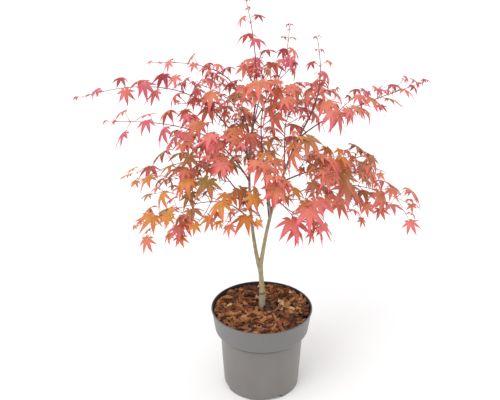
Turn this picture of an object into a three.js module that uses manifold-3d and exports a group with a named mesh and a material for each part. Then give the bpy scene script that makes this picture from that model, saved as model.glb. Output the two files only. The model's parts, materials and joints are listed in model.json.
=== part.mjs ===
// A young Japanese maple in autumn colour, growing in a round nursery pot. Sizes are in millimetres.
// The pot stands on z = 0 with its axis on the z axis, +x is to the right of whoever looks at the
// front, and +y points away from them.

import * as THREE from 'three';
import { mergeVertices } from 'three/addons/utils/BufferGeometryUtils.js';
import Module from 'manifold-3d';

const wasm = await Module();
wasm.setup();

// Pot: the driving dimensions
const RIM_RADIUS = 95;
const POT_HEIGHT = 163;
const BAND_HEIGHT = 43;
const NECK_RADIUS = 78.4;
const FOOT_RADIUS = 72;
const WALL = 1.6;
const POT_SIDES = 26;
const CHANNEL_WIDTH = 35;
const CHANNEL_HEIGHT = 6.5;
const CHANNEL_START = 46;
const CHANNEL_BEARINGS = [17.5, 107.5, 197.5, 287.5];
const DRAIN_RADIUS = 5;

// Filling: compost up to the soil level, then a loose layer of bark chips heaped to the trunk
const SOIL = 146;
const MULCH_AT_WALL = 151;
const MULCH_AT_TRUNK = 158;
const MULCH_LUMP = 1.6;

// What lies face to face is kept this far apart, and corners lie on a grid of the finest detail
const GAP = 0.3;
const FINEST_DETAIL = 0.01;

// Trunk: its height, its lean to the fork, and its radius at named heights above the soil
const FORK = [-4, 0, 251];
const TRUNK_FOOT_X = 0.8;
const TRUNK_BELLY_X = 2;
const TRUNK_SIDES = 10;
const FORK_SPREAD = 2;
const FORK_SINK = 3;
const TRUNK_STATIONS = [
  { above: 0, radius: 8.4 },
  { above: 4, radius: 7.0 },
  { above: 12, radius: 6.0 },
  { above: 38, radius: 5.5 },
  { above: 45, radius: 6.2 },
  { above: 52, radius: 4.8 },
  { above: 88, radius: 4.5 },
  { above: 101, radius: 5.2 },
  { above: 106, radius: 4.0 },
];

// Limbs: what each one springs from and how far along it, where its tip is (distance out from the
// pot's axis, bearing from +x in degrees, height), how far its middle bows, and the radius at its
// foot and its tip. The bearings go round the tree, and the heights make four loose tiers.
const LIMBS = {
  left_stem: { from: 'trunk', along: 1, tip: [16, 162, 530], bow: [-24, 0, 0], radii: [2.9, 1.6] },
  right_stem: { from: 'trunk', along: 1, tip: [79, 9, 522], bow: [-24, 0, 10], radii: [3.4, 1.6] },
  left_high: { from: 'left_stem', along: 0.72, tip: [76, 176, 528], bow: [0, 0, 8], radii: [1.7, 1.1] },
  left_upper: { from: 'left_stem', along: 0.83, tip: [58, 135, 552], bow: [0, 0, 4], radii: [1.4, 1.0] },
  left_mid: { from: 'left_stem', along: 0.58, tip: [70, 204, 480], bow: [0, 0, 8], radii: [1.7, 1.1] },
  left_low: { from: 'left_stem', along: 0.37, tip: [70, 168, 420], bow: [0, 0, 8], radii: [1.6, 1.1] },
  left_base: { from: 'left_stem', along: 0.3, tip: [70, 213, 385], bow: [0, 0, 10], radii: [1.6, 1.0] },
  left_front: { from: 'left_stem', along: 0.68, tip: [55, 238, 490], bow: [0, 0, 8], radii: [1.5, 1.0] },
  front_left: { from: 'left_stem', along: 0.42, tip: [56, 248, 410], bow: [0, 0, 10], radii: [1.6, 1.0] },
  back_left: { from: 'left_stem', along: 0.63, tip: [62, 122, 490], bow: [0, 0, 6], radii: [1.6, 1.0] },
  back_high: { from: 'left_stem', along: 0.88, tip: [46, 95, 556], bow: [0, 0, 0], radii: [1.4, 1.0] },
  top_right: { from: 'left_stem', along: 0.93, tip: [28, 50, 572], bow: [0, 0, 0], radii: [1.3, 0.9] },
  centre: { from: 'right_stem', along: 0.36, tip: [28, 262, 510], bow: [-6, -4, 0], radii: [2.0, 1.2] },
  front_mid: { from: 'centre', along: 0.5, tip: [60, 272, 462], bow: [0, 0, 6], radii: [1.4, 1.0] },
  right_high: { from: 'right_stem', along: 0.86, tip: [112, 352, 530], bow: [0, 0, 6], radii: [1.5, 1.0] },
  right_front: { from: 'right_stem', along: 0.7, tip: [74, 314, 476], bow: [0, 0, 8], radii: [1.5, 1.0] },
  right_mid: { from: 'right_stem', along: 0.56, tip: [88, 350, 438], bow: [0, 0, 4], radii: [1.7, 1.1] },
  right_low: { from: 'right_stem', along: 0.41, tip: [66, 6, 390], bow: [0, 0, 2], radii: [1.7, 1.1] },
  front_right: { from: 'right_stem', along: 0.47, tip: [58, 295, 402], bow: [0, 0, 8], radii: [1.6, 1.0] },
  back_right: { from: 'right_stem', along: 0.63, tip: [76, 58, 484], bow: [0, 0, 6], radii: [1.6, 1.0] },
  back_low: { from: 'right_stem', along: 0.31, tip: [58, 88, 415], bow: [0, 0, 6], radii: [1.7, 1.0] },
};

// Masses of foliage: the limb that each grows on from, the tip of its main shoot, its pairs of
// leaves or twigs, the span of its largest leaf, how many pairs are twigs and how long they are,
// and how much smaller the leaves get towards the tip
const MASSES = {
  leader: { on: 'left_stem', tip: [27, 180, 709], pairs: 5, span: 66, twigs: 2, twig: 46, fall: 0.76 },
  right_top: { on: 'right_stem', tip: [92, 16, 649], pairs: 6, span: 62, twigs: 1, twig: 50, fall: 1.0 },
  left_high: { on: 'left_high', tip: [300, 181, 561], pairs: 7, span: 60, twigs: 2, twig: 45, fall: 0.65 },
  left_upper: { on: 'left_upper', tip: [190, 166, 608], pairs: 5, span: 60, twigs: 1, twig: 55, fall: 0.75 },
  left_mid: { on: 'left_mid', tip: [252, 193, 533], pairs: 6, span: 66, twigs: 2, twig: 56, fall: 0.6 },
  left_low: { on: 'left_low', tip: [222, 178, 405], pairs: 5, span: 68, twigs: 2, twig: 66, fall: 0.3 },
  left_base: { on: 'left_base', tip: [225, 205, 370], pairs: 5, span: 66, twigs: 3, twig: 72, fall: 0.22 },
  left_front: { on: 'left_front', tip: [160, 236, 500], pairs: 4, span: 66, twigs: 2, twig: 60, fall: 0.42 },
  front_left: { on: 'front_left', tip: [170, 250, 400], pairs: 4, span: 70, twigs: 2, twig: 62, fall: 0.25 },
  back_left: { on: 'back_left', tip: [222, 126, 545], pairs: 5, span: 66, twigs: 2, twig: 66, fall: 0.4 },
  back_high: { on: 'back_high', tip: [130, 94, 600], pairs: 4, span: 62, twigs: 1, twig: 50, fall: 0.4 },
  top_right: { on: 'top_right', tip: [56, 40, 668], pairs: 4, span: 58, twigs: 1, twig: 50, fall: 0.9 },
  centre: { on: 'centre', tip: [58, 282, 592], pairs: 5, span: 68, twigs: 3, twig: 56, fall: 0.2 },
  front_mid: { on: 'front_mid', tip: [165, 274, 478], pairs: 4, span: 67, twigs: 2, twig: 58, fall: 0.33 },
  right_high: { on: 'right_high', tip: [256, 354, 590], pairs: 6, span: 58, twigs: 1, twig: 45, fall: 0.62 },
  right_front: { on: 'right_front', tip: [160, 304, 478], pairs: 4, span: 67, twigs: 2, twig: 60, fall: 0.4 },
  right_mid: { on: 'right_mid', tip: [195, 350, 436], pairs: 5, span: 68, twigs: 3, twig: 66, fall: 0.35 },
  right_low: { on: 'right_low', tip: [265, 0, 366], pairs: 6, span: 67, twigs: 3, twig: 72, fall: 0.25 },
  front_right: { on: 'front_right', tip: [175, 300, 392], pairs: 4, span: 70, twigs: 2, twig: 62, fall: 0.3 },
  back_right: { on: 'back_right', tip: [225, 50, 535], pairs: 5, span: 66, twigs: 2, twig: 66, fall: 0.4 },
  back_low: { on: 'back_low', tip: [215, 88, 425], pairs: 5, span: 66, twigs: 2, twig: 66, fall: 0.4 },
};

// How many flat sides each kind of limb has, and how many straight pieces it is made of
const STEM = { sides: 7, steps: 6 };
const BOUGH = { sides: 5, steps: 3 };
const MAIN_SHOOT = { sides: 3, steps: 4 };
const TWIG = { sides: 3, steps: 2 };
const CLEARANCE_PIECES = 8;

// Growth rule: how a shoot stiffens, thins and spaces its pairs, and how far a mass may spread
const SHOOT_TIP_RADIUS = 0.7;
const HANDLE_SHARE = 0.45;
const PAIR_TURN = 55;
const PAIR_STAGGER = 0.004;
const TIP_PAIR_AT = 0.94;
const SPACE_REACH = 150;
const SPACE_GAP = 4;
const LIMB_CLEARANCE = 1.6;
const SMALLEST_LEAF = 9;

// Leaf: lobes round the point where the stalk meets the blade, each with its bearing from the
// midrib and its share of the length, deep notches between them, and tips that droop. A grown leaf
// has five lobes and a young one has three.
const GROWN_LOBES = [
  { bearing: -84, reach: 0.68 },
  { bearing: -40, reach: 0.92 },
  { bearing: 0, reach: 1 },
  { bearing: 40, reach: 0.92 },
  { bearing: 84, reach: 0.68 },
];
const YOUNG_LOBES = [
  { bearing: -58, reach: 0.8 },
  { bearing: 0, reach: 1 },
  { bearing: 58, reach: 0.8 },
];
const GROWN_SPAN = 42;
const LENGTH_OF_SPAN = 0.7;
const NOTCH_DEPTH = 0.42;
const LEAF_THICKNESS = 0.022;
const STALK_RADII = { foot: 0.25, blade: 0.7 };
const STALK_SLANT = 0.38;

// Tries for a leaf that has no room where it first falls: turn, share of its size, and lift
const TRIES = [
  { turn: 0, size: 1, lift: 0 },
  { turn: 30, size: 1, lift: 0 },
  { turn: -30, size: 1, lift: 0 },
  { turn: 60, size: 0.94, lift: 0.3 },
  { turn: -60, size: 0.94, lift: 0.3 },
  { turn: 15, size: 0.8, lift: 0.6 },
  { turn: 95, size: 0.85, lift: 0.3 },
  { turn: -95, size: 0.85, lift: 0.3 },
  { turn: 0, size: 0.66, lift: 0.6 },
  { turn: 45, size: 0.66, lift: 0 },
  { turn: -45, size: 0.66, lift: 0 },
  { turn: 0, size: 0.5, lift: 0.8 },
];

const UP = new THREE.Vector3(0, 0, 1);
const radians = THREE.MathUtils.degToRad;

// A small seeded generator of even numbers, so that the tree grows the same way each time
function seeded(seed) {
  let state = (Math.imul(seed, 2654435761) + 12345) >>> 0;
  const next = () => {
    state = (Math.imul(state, 1664525) + 1013904223) >>> 0;
    return state / 4294967296;
  };
  for (let warm = 0; warm < 4; warm++) next();
  return { next, span: (low, high) => low + (high - low) * next() };
}

// The point at a distance out from the pot's axis, a bearing and a height
function around(out, bearing, height) {
  return new THREE.Vector3(
    out * Math.cos(radians(bearing)),
    out * Math.sin(radians(bearing)),
    height,
  );
}

// The sum of vectors, each with its weight
function blend(...terms) {
  const sum = new THREE.Vector3();
  for (const [vector, weight] of terms) sum.addScaledVector(vector, weight);
  return sum;
}

// A curved centre line with a radius that tapers evenly, made as a row of straight pieces
class Limb {
  constructor(start, handle, end, radii, steps) {
    this.curve = new THREE.QuadraticBezierCurve3(start, handle, end);
    this.radii = radii;
    this.steps = steps;
  }

  at(t) {
    return this.curve.getPoint(t);
  }

  direction(t) {
    const { v0, v1, v2 } = this.curve;
    return blend([v0, t - 1], [v1, 1 - 2 * t], [v2, t]).normalize();
  }

  radius(t) {
    return THREE.MathUtils.lerp(this.radii[0], this.radii[1], t);
  }

  // The point at t on the straight pieces
  onPieces(t) {
    const piece = Math.min(Math.floor(t * this.steps), this.steps - 1);
    return this.at(piece / this.steps).lerp(this.at((piece + 1) / this.steps), t * this.steps - piece);
  }

  // The centre line in straight pieces, each with its radius
  pieces(count) {
    const list = [];
    for (let i = 0; i < count; i++) {
      const from = this.at(i / count);
      list.push({ from, to: this.at((i + 1) / count), radius: this.radius(i / count) });
    }
    return list;
  }
}

// A closed geometry from corner points and triangles
function geometryOf(points, triangles) {
  const geometry = new THREE.BufferGeometry();
  geometry.setAttribute('position', new THREE.Float32BufferAttribute(points.flatMap((p) => p.toArray()), 3));
  geometry.setIndex(triangles.flat());
  return geometry;
}

// A solid from a closed geometry, with its shared corners merged and its empty triangles left out
function solidOf(geometry) {
  const bare = geometry.clone();
  bare.deleteAttribute('normal');
  bare.deleteAttribute('uv');
  const merged = mergeVertices(bare, 1e-4);
  const index = merged.index.array;
  const triVerts = [];
  for (let i = 0; i < index.length; i += 3) {
    const [a, b, c] = [index[i], index[i + 1], index[i + 2]];
    if (a !== b && b !== c && c !== a) triVerts.push(a, b, c);
  }
  return new wasm.Manifold(new wasm.Mesh({
    numProp: 3,
    vertProperties: new Float32Array(merged.attributes.position.array),
    triVerts: new Uint32Array(triVerts),
  }));
}

// The largest piece of a solid: loose scraps and sealed hollows fall away
function wholeOf(solid) {
  const parts = solid.decompose();
  return parts.reduce((best, part) => (part.volume() > best.volume() ? part : best));
}

// A solid with its corners moved onto a fine grid, so that those almost in one place become one
function onGrid(solid) {
  const geometry = shapeOf(solid);
  const { array } = geometry.attributes.position;
  for (let i = 0; i < array.length; i++) array[i] = Math.round(array[i] / FINEST_DETAIL) * FINEST_DETAIL;
  return wholeOf(solidOf(geometry));
}

// The geometry of a solid
function shapeOf(solid) {
  const { vertProperties, triVerts } = solid.getMesh();
  const geometry = new THREE.BufferGeometry();
  geometry.setAttribute('position', new THREE.Float32BufferAttribute(vertProperties, 3));
  geometry.setIndex(Array.from(triVerts));
  geometry.computeVertexNormals();
  return geometry;
}

// The part of a vector that is square to a direction, at unit length
function squareTo(vector, direction) {
  return blend([vector, 1], [direction, -vector.dot(direction)]).normalize();
}

// A ring of points round a centre, square to a direction, that starts on one side of it
function ringAround(centre, direction, side, radius, sides) {
  const top = new THREE.Vector3().crossVectors(direction, side);
  const ring = [];
  for (let i = 0; i < sides; i++) {
    const turn = (2 * Math.PI * i) / sides;
    ring.push(blend([centre, 1], [side, radius * Math.cos(turn)], [top, radius * Math.sin(turn)]));
  }
  return ring;
}

// A closed skin over a row of rings, with flat ends
function skinOf(rings) {
  const sides = rings[0].length;
  const triangles = [];
  for (let r = 0; r + 1 < rings.length; r++) {
    for (let i = 0; i < sides; i++) {
      const a = r * sides + i;
      const b = r * sides + ((i + 1) % sides);
      triangles.push([a, b, b + sides], [a, b + sides, a + sides]);
    }
  }
  const last = (rings.length - 1) * sides;
  for (let i = 1; i + 1 < sides; i++) {
    triangles.push([0, i + 1, i], [last, last + i, last + i + 1]);
  }
  return geometryOf(rings.flat(), triangles);
}

// The level direction to the side of a limb or shoot
function sideOf(along) {
  const side = new THREE.Vector3().crossVectors(along, UP);
  if (side.length() < 0.25) side.set(1, 0, 0);
  return side.normalize();
}

// A tapering tube along a limb's centre line, made thicker by an allowance. Its flat sides lie as
// far inside the round limb as its corners stand out of it.
function tubeOf(limb, sides, allowance = 0) {
  const proud = 2 / (1 + Math.cos(Math.PI / sides));
  const rings = [];
  let side = sideOf(limb.direction(0));
  for (let i = 0; i <= limb.steps; i++) {
    const t = i / limb.steps;
    side = squareTo(side, limb.direction(t));
    rings.push(ringAround(limb.at(t), limb.direction(t), side, proud * limb.radius(t) + allowance, sides));
  }
  return skinOf(rings);
}

// Pot and filling

// The outside of the pot as (radius, height): foot, long body, rounded shoulder, band and lip
function potOutside() {
  const bandFoot = POT_HEIGHT - BAND_HEIGHT;
  const bandRadius = RIM_RADIUS - 6.5;
  const profile = [
    [0, 0],
    [FOOT_RADIUS - 2.5, 0],
    [FOOT_RADIUS, 2.5],
    [NECK_RADIUS, bandFoot - 8],
    [bandRadius - 3, bandFoot - 3],
    [bandRadius, bandFoot + 2],
    [RIM_RADIUS - 2, POT_HEIGHT - 4.5],
    [RIM_RADIUS, POT_HEIGHT - 3],
    [RIM_RADIUS, POT_HEIGHT - 0.8],
    [RIM_RADIUS - 0.8, POT_HEIGHT],
    [0, POT_HEIGHT],
  ];
  return profile.map(([radius, height]) => new THREE.Vector2(radius, height));
}

// The inside of the pot, drawn in by an inset and cut off level at a top height
function potInside(inset, top) {
  const bandFoot = POT_HEIGHT - BAND_HEIGHT;
  const inner = WALL + inset;
  const walls = [
    [FOOT_RADIUS - inner - 1, WALL + inset],
    [NECK_RADIUS - inner, bandFoot - 7],
    [RIM_RADIUS - 6.5 - inner, bandFoot + 3],
    [RIM_RADIUS - 2 - inner, POT_HEIGHT - 4],
    [RIM_RADIUS - 2 - inner, POT_HEIGHT + 2],
  ];
  const below = walls.filter(([, height]) => height < top);
  const profile = [[0, WALL + inset], ...below, [wallRadius(walls, top), top], [0, top]];
  return profile.map(([radius, height]) => new THREE.Vector2(radius, height));
}

// The radius of a wall of (radius, height) points at a height
function wallRadius(walls, height) {
  const above = walls.findIndex(([, h]) => h >= height);
  const [r0, h0] = walls[above - 1];
  const [r1, h1] = walls[above];
  return r0 + ((r1 - r0) * (height - h0)) / (h1 - h0);
}

// A round solid from a profile that starts and ends on the z axis
function turned(profile) {
  const geometry = new THREE.LatheGeometry(profile, POT_SIDES);
  geometry.rotateX(Math.PI / 2);
  return solidOf(geometry);
}

// The four raised channels under the pot, made larger by an allowance
function channels(allowance) {
  const length = RIM_RADIUS - CHANNEL_START;
  return CHANNEL_BEARINGS.map((bearing) => {
    const height = 2 * (CHANNEL_HEIGHT + allowance);
    const box = new THREE.BoxGeometry(length + 2 * allowance, CHANNEL_WIDTH + 2 * allowance, height);
    box.translate(CHANNEL_START + length / 2, 0, 0);
    box.rotateZ(radians(bearing));
    return solidOf(box);
  });
}

// The drain hole through the roof of each channel
function drainHoles() {
  return CHANNEL_BEARINGS.map((bearing) => {
    const hole = new THREE.CylinderGeometry(DRAIN_RADIUS, DRAIN_RADIUS, 8 * WALL, 8);
    hole.rotateX(Math.PI / 2);
    hole.translate(CHANNEL_START + 2.4 * DRAIN_RADIUS, 0, CHANNEL_HEIGHT);
    hole.rotateZ(radians(bearing));
    return solidOf(hole);
  });
}

const cutAll = (solid, cutters) => cutters.reduce((rest, cutter) => rest.subtract(cutter), solid);

function potSolid() {
  const outside = cutAll(turned(potOutside()), channels(0));
  const cavity = cutAll(turned(potInside(0, POT_HEIGHT + 1)), channels(WALL));
  return cutAll(outside.subtract(cavity), drainHoles());
}

function compostSolid() {
  return cutAll(turned(potInside(GAP, SOIL)), channels(WALL + GAP));
}

// The layer of bark chips: flat below, heaped towards the trunk above, with seeded lumps
function mulchSolid(trunkRoom) {
  const edge = potInside(GAP, SOIL + GAP).at(-2).x;
  const ringRadii = [0.5, 1].map((share) => share * edge);
  const sides = POT_SIDES;
  const bearing = (i) => (360 * i) / sides - 90;
  const draw = seeded(77);
  const points = [new THREE.Vector3(0, 0, SOIL + GAP), new THREE.Vector3(0, 0, MULCH_AT_TRUNK)];
  for (const radius of ringRadii) {
    const top = THREE.MathUtils.lerp(MULCH_AT_TRUNK, MULCH_AT_WALL, radius / edge);
    for (let i = 0; i < sides; i++) {
      points.push(around(radius, bearing(i), top + draw.span(-MULCH_LUMP, MULCH_LUMP)));
    }
  }
  for (let i = 0; i < sides; i++) points.push(around(edge, bearing(i), SOIL + GAP));
  const corner = (ring, i) => 2 + ring * sides + (i % sides);
  const triangles = [];
  for (let i = 0; i < sides; i++) {
    const [low, lowNext] = [corner(ringRadii.length, i), corner(ringRadii.length, i + 1)];
    triangles.push([1, corner(0, i), corner(0, i + 1)], [0, lowNext, low]);
    for (let ring = 0; ring < ringRadii.length; ring++) {
      const [a, b] = [corner(ring, i), corner(ring, i + 1)];
      const [c, d] = [corner(ring + 1, i), corner(ring + 1, i + 1)];
      triangles.push([a, c, d], [a, d, b]);
    }
  }
  return solidOf(geometryOf(points, triangles)).subtract(trunkRoom);
}

// Trunk and limbs

// The trunk's centre line, from its flat cut on the soil to the fork
function trunkLine() {
  const foot = new THREE.Vector3(TRUNK_FOOT_X, 0, SOIL + GAP);
  const fork = new THREE.Vector3(...FORK);
  const belly = new THREE.Vector3(TRUNK_BELLY_X, 0, (foot.z + fork.z) / 2);
  return new Limb(foot, belly, fork, [6, 4.5], CLEARANCE_PIECES);
}

// The trunk's solid: root flare, the swelling at the graft, and the swelling under the fork
function trunkSolid(line, allowance) {
  const height = FORK[2] - SOIL - GAP;
  const rings = TRUNK_STATIONS.map(({ above, radius }) => {
    const t = above / height;
    const centre = line.at(Math.min(t, 1)).setZ(SOIL + GAP + above);
    return ringAround(centre, UP, new THREE.Vector3(1, 0, 0), radius + allowance, TRUNK_SIDES);
  });
  return solidOf(skinOf(rings));
}

const isStem = (name) => LIMBS[name].from === 'trunk';

// Where a limb springs from: at the fork the two stems start side by side inside the trunk
function springPoint(name, limb, lines) {
  const point = lines[limb.from].at(limb.along);
  if (!isStem(name)) return point;
  return point.add(new THREE.Vector3(name === 'left_stem' ? -FORK_SPREAD : FORK_SPREAD, 0, -FORK_SINK));
}

function limbLines(trunk) {
  const lines = { trunk };
  for (const [name, limb] of Object.entries(LIMBS)) {
    const start = springPoint(name, limb, lines);
    const end = around(...limb.tip);
    const handle = blend([start, 0.5], [end, 0.5], [new THREE.Vector3(...limb.bow), 1]);
    lines[name] = new Limb(start, handle, end, limb.radii, isStem(name) ? STEM.steps : BOUGH.steps);
  }
  return lines;
}

// Each limb's solid, cut back from what it springs from so that it meets it with a small gap
function limbSolids(lines, trunkRoom) {
  const solids = {};
  const rooms = { trunk: trunkRoom };
  for (const [name, limb] of Object.entries(LIMBS)) {
    const { sides } = isStem(name) ? STEM : BOUGH;
    let solid = solidOf(tubeOf(lines[name], sides)).subtract(rooms[limb.from]);
    if (name === 'right_stem') solid = solid.subtract(rooms.left_stem);
    solids[name] = wholeOf(solid);
    rooms[name] = solidOf(tubeOf(lines[name], sides, GAP));
  }
  return solids;
}

// Foliage

// A mass's main shoot, which grows on from the tip of its limb
function mainShoot(mass, lines) {
  const limb = lines[mass.on];
  const onward = limb.direction(1);
  const start = blend([limb.at(1), 1], [onward, GAP]);
  const end = around(...mass.tip);
  const handle = blend([start, 1], [onward, HANDLE_SHARE * start.distanceTo(end)]);
  return new Limb(start, handle, end, [limb.radius(1), SHOOT_TIP_RADIUS], MAIN_SHOOT.steps);
}

// The rim of a leaf from one side of the stalk round to the other: lobe tips and notches in turn
function leafRim(leaf) {
  const length = leaf.span * LENGTH_OF_SPAN;
  const side = new THREE.Vector3().crossVectors(leaf.normal, leaf.forward);
  const corner = (bearing, reach, droop) => {
    const level = reach * length * Math.cos(leaf.curl * droop);
    const turn = radians(bearing);
    return blend(
      [leaf.centre, 1],
      [leaf.forward, level * Math.cos(turn)],
      [side, level * Math.sin(turn)],
      [leaf.normal, -reach * length * Math.sin(leaf.curl * droop)],
    );
  };
  const lobes = leaf.span < GROWN_SPAN ? YOUNG_LOBES : GROWN_LOBES;
  const heel = STALK_RADII.blade / length;
  const rim = [corner(-120, heel, 0)];
  lobes.forEach((lobe, i) => {
    if (i > 0) {
      const before = lobes[i - 1];
      const depth = (NOTCH_DEPTH * (lobe.reach + before.reach)) / 2;
      rim.push(corner((lobe.bearing + before.bearing) / 2, depth, 0.5));
    }
    rim.push(corner(lobe.bearing, lobe.reach, 1));
  });
  rim.push(corner(120, heel, 0));
  return rim;
}

// The blade as a fan of triangles, and its ribs, rim and stalk as straight edges
function leafFan({ foot, centre, rim }) {
  const triangles = [];
  const edges = [[foot, centre]];
  rim.forEach((point, i) => {
    const next = rim[(i + 1) % rim.length];
    triangles.push([centre, point, next]);
    edges.push([centre, point], [point, next]);
  });
  return { triangles, edges };
}

// The least distance from a point to a straight piece
function distanceTo(point, piece) {
  const nearest = new THREE.Line3(piece.from, piece.to);
  return nearest.closestPointToPoint(point, true, new THREE.Vector3()).distanceTo(point);
}

// Whether the straight edge from a to b passes through a triangle
function passesThrough([a, b], [p, q, r]) {
  const way = new THREE.Vector3().subVectors(b, a);
  const e1 = new THREE.Vector3().subVectors(q, p);
  const e2 = new THREE.Vector3().subVectors(r, p);
  const across = new THREE.Vector3().crossVectors(way, e2);
  const det = e1.dot(across);
  if (Math.abs(det) < 1e-9) return false;
  const from = new THREE.Vector3().subVectors(a, p);
  const u = from.dot(across) / det;
  const over = new THREE.Vector3().crossVectors(from, e1);
  const v = way.dot(over) / det;
  const t = e2.dot(over) / det;
  return u >= 0 && v >= 0 && u + v <= 1 && t >= 0 && t <= 1;
}

// Whether all points keep to a mass's own space: nearer to its main shoot than to any other
function keepsToSpace(mass, points, masses) {
  return points.every((point) => {
    const own = Math.min(...mass.pieces.map((piece) => distanceTo(point, piece)));
    if (own >= SPACE_REACH) return false;
    return masses.every((other) => other === mass
      || other.pieces.every((piece) => own + SPACE_GAP < distanceTo(point, piece)));
  });
}

// Whether all points lie clear of the trunk and the limbs
function clearOfLimbs(points, radius, limbPieces) {
  const room = radius + LIMB_CLEARANCE;
  return points.every((point) => limbPieces.every((piece) => distanceTo(point, piece) > piece.radius + room));
}

// Whether a leaf has room: in its mass's space, off every limb and off the mass's other leaves
function leafHasRoom(leaf, mass, masses, limbPieces) {
  const fan = leafFan(leaf);
  const blade = [leaf.centre, ...leaf.rim];
  const thirds = fan.edges.flatMap(([a, b]) => [a.clone().lerp(b, 0.33), a.clone().lerp(b, 0.67)]);
  if (!keepsToSpace(mass, [...blade, ...thirds.slice(0, 2)], masses)) return false;
  if (!clearOfLimbs([...blade, ...thirds], 0, limbPieces)) return false;
  const wood = [...limbPieces, ...mass.shoots.flatMap((shoot) => shoot.pieces(shoot.steps))];
  const woodEdges = wood.map((piece) => [piece.from, piece.to]);
  if (fan.triangles.some((face) => woodEdges.some((edge) => passesThrough(edge, face)))) return false;
  return !mass.leaves.some((other) => leavesCross(fan, leafFan(other)));
}

// Whether two leaves pass through each other
function leavesCross(fan, other) {
  return fan.edges.some((edge) => other.triangles.some((face) => passesThrough(edge, face)))
    || other.edges.some((edge) => fan.triangles.some((face) => passesThrough(edge, face)));
}

// How one leaf hangs: its stalk, its size, the way it points, its droop, roll and curl
function leafHabit(draw) {
  return {
    swing: draw.span(0.2, 0.6),
    lift: draw.span(0.25, 0.6),
    stalk: draw.span(0.4, 0.56),
    droop: draw.span(8, 46),
    turn: draw.span(-25, 25),
    roll: draw.span(-22, 22),
    curl: radians(draw.span(20, 44)),
  };
}

// A leaf at one try: the stalk leaves the shoot, and the blade heads outwards and droops
function leafAt(spot, habit, attempt, number) {
  const span = spot.span * attempt.size;
  const lift = habit.lift + attempt.lift;
  const stalk = blend([spot.along, habit.swing], [spot.out, 0.9], [UP, lift]).normalize();
  stalk.applyAxisAngle(UP, radians(attempt.turn / 2));
  const centre = blend([spot.place, 1], [stalk, span * habit.stalk]);
  const stalkHeading = Math.atan2(stalk.y, stalk.x);
  const outward = Math.atan2(centre.y - FORK[1], centre.x - FORK[0]);
  const swerve = THREE.MathUtils.euclideanModulo(outward - stalkHeading + Math.PI, 2 * Math.PI) - Math.PI;
  const heading = stalkHeading + 0.45 * swerve + radians(habit.turn + attempt.turn);
  const droop = radians((habit.droop + 7 * number) % 70);
  const level = new THREE.Vector3(Math.cos(heading), Math.sin(heading), 0);
  const forward = blend([level, Math.cos(droop)], [UP, -Math.sin(droop)]).normalize();
  const right = new THREE.Vector3().crossVectors(forward, UP).normalize();
  const face = new THREE.Vector3().crossVectors(right, forward).normalize();
  const normal = blend([face, Math.cos(radians(habit.roll))], [right, Math.sin(radians(habit.roll))]);
  const leaf = { foot: spot.place, centre, forward, normal, span, curl: habit.curl };
  const facing = blend([normal, 1], [forward, 1]).normalize();
  return { ...leaf, rim: leafRim(leaf), slant: stalk.dot(facing) };
}

// Puts a leaf on a shoot where it has room, or leaves it out
function addLeaf(spot, draw, mass, masses, limbPieces) {
  const habit = leafHabit(draw);
  for (const [number, attempt] of TRIES.entries()) {
    const leaf = leafAt(spot, habit, attempt, number);
    if (leaf.slant > STALK_SLANT && leafHasRoom(leaf, mass, masses, limbPieces)) {
      mass.leaves.push(leaf);
      return;
    }
  }
}

// The direction in which one of a pair leaves its shoot: each pair is turned from the one before
function pairDirection(along, sign, pair, draw) {
  const side = sideOf(along);
  const over = new THREE.Vector3().crossVectors(side, along).normalize();
  const turn = radians(draw.span(-15, 15) + (pair % 2 === 0 ? PAIR_TURN : 0));
  return blend([side, sign * Math.cos(turn)], [over, sign * Math.sin(turn)]).normalize();
}

// A twig from a shoot, or nothing where it has no room
function twigFrom(spot, mass, masses, limbPieces, t, draw) {
  const length = mass.twig * draw.span(0.75, 1.1) * (1.1 - 0.4 * t);
  const tipWay = blend([spot.along, 0.75], [spot.out, 0.85], [UP, 0.1]).normalize();
  const handleWay = blend([spot.along, 0.5], [spot.out, 1], [UP, 0.25]).normalize();
  const end = blend([spot.place, 1], [tipWay, length]);
  const handle = blend([spot.place, 1], [handleWay, length / 2]);
  const radii = [0.75 * mass.main.radius(t), 0.9 * SHOOT_TIP_RADIUS];
  const twig = new Limb(spot.place, handle, end, radii, TWIG.steps);
  const points = [0.4, 0.6, 0.8, 1].map((share) => twig.at(share));
  const fits = keepsToSpace(mass, points, masses) && clearOfLimbs(points, 0.5, limbPieces);
  const edges = twig.pieces(twig.steps).map((piece) => [piece.from, piece.to]);
  const blades = mass.leaves.flatMap((leaf) => leafFan(leaf).triangles);
  const crosses = edges.some((edge) => blades.some((face) => passesThrough(edge, face)));
  return fits && !crosses ? twig : null;
}

// Grows a shoot: opposite pairs of twigs or leaves along it, and a young pair at its tip
function growShoot(shoot, isMain, pairs, span, shootNumber, mass, masses, limbPieces) {
  mass.shoots.push(shoot);
  for (let pair = 1; pair <= pairs; pair++) {
    const t = (pair - (isMain ? 0.55 : 0.1)) / (pairs + 0.3);
    for (const sign of [1, -1]) {
      const place = shoot.onPieces(t + sign * PAIR_STAGGER);
      const along = shoot.direction(t);
      const draw = seeded(((mass.number * 20 + shootNumber) * 20 + pair) * 2 + (sign > 0 ? 1 : 0));
      const out = pairDirection(along, sign, pair, draw);
      const ageing = isMain ? 1.06 - mass.fall * t ** 1.5 : 1 - 0.3 * t;
      const spot = { place, along, out, span: span * ageing * draw.span(0.88, 1.1) };
      const bearsTwig = isMain && pair <= mass.twigs;
      const twig = bearsTwig && twigFrom(spot, mass, masses, limbPieces, t, draw);
      if (twig) {
        const twigNumber = 2 * pair + (sign > 0 ? 1 : 0);
        growShoot(twig, false, 1, spot.span, twigNumber, mass, masses, limbPieces);
      } else {
        addLeaf(spot, draw, mass, masses, limbPieces);
      }
    }
  }
  addTipPair(shoot, isMain, span, shootNumber, mass, masses, limbPieces);
}

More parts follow.
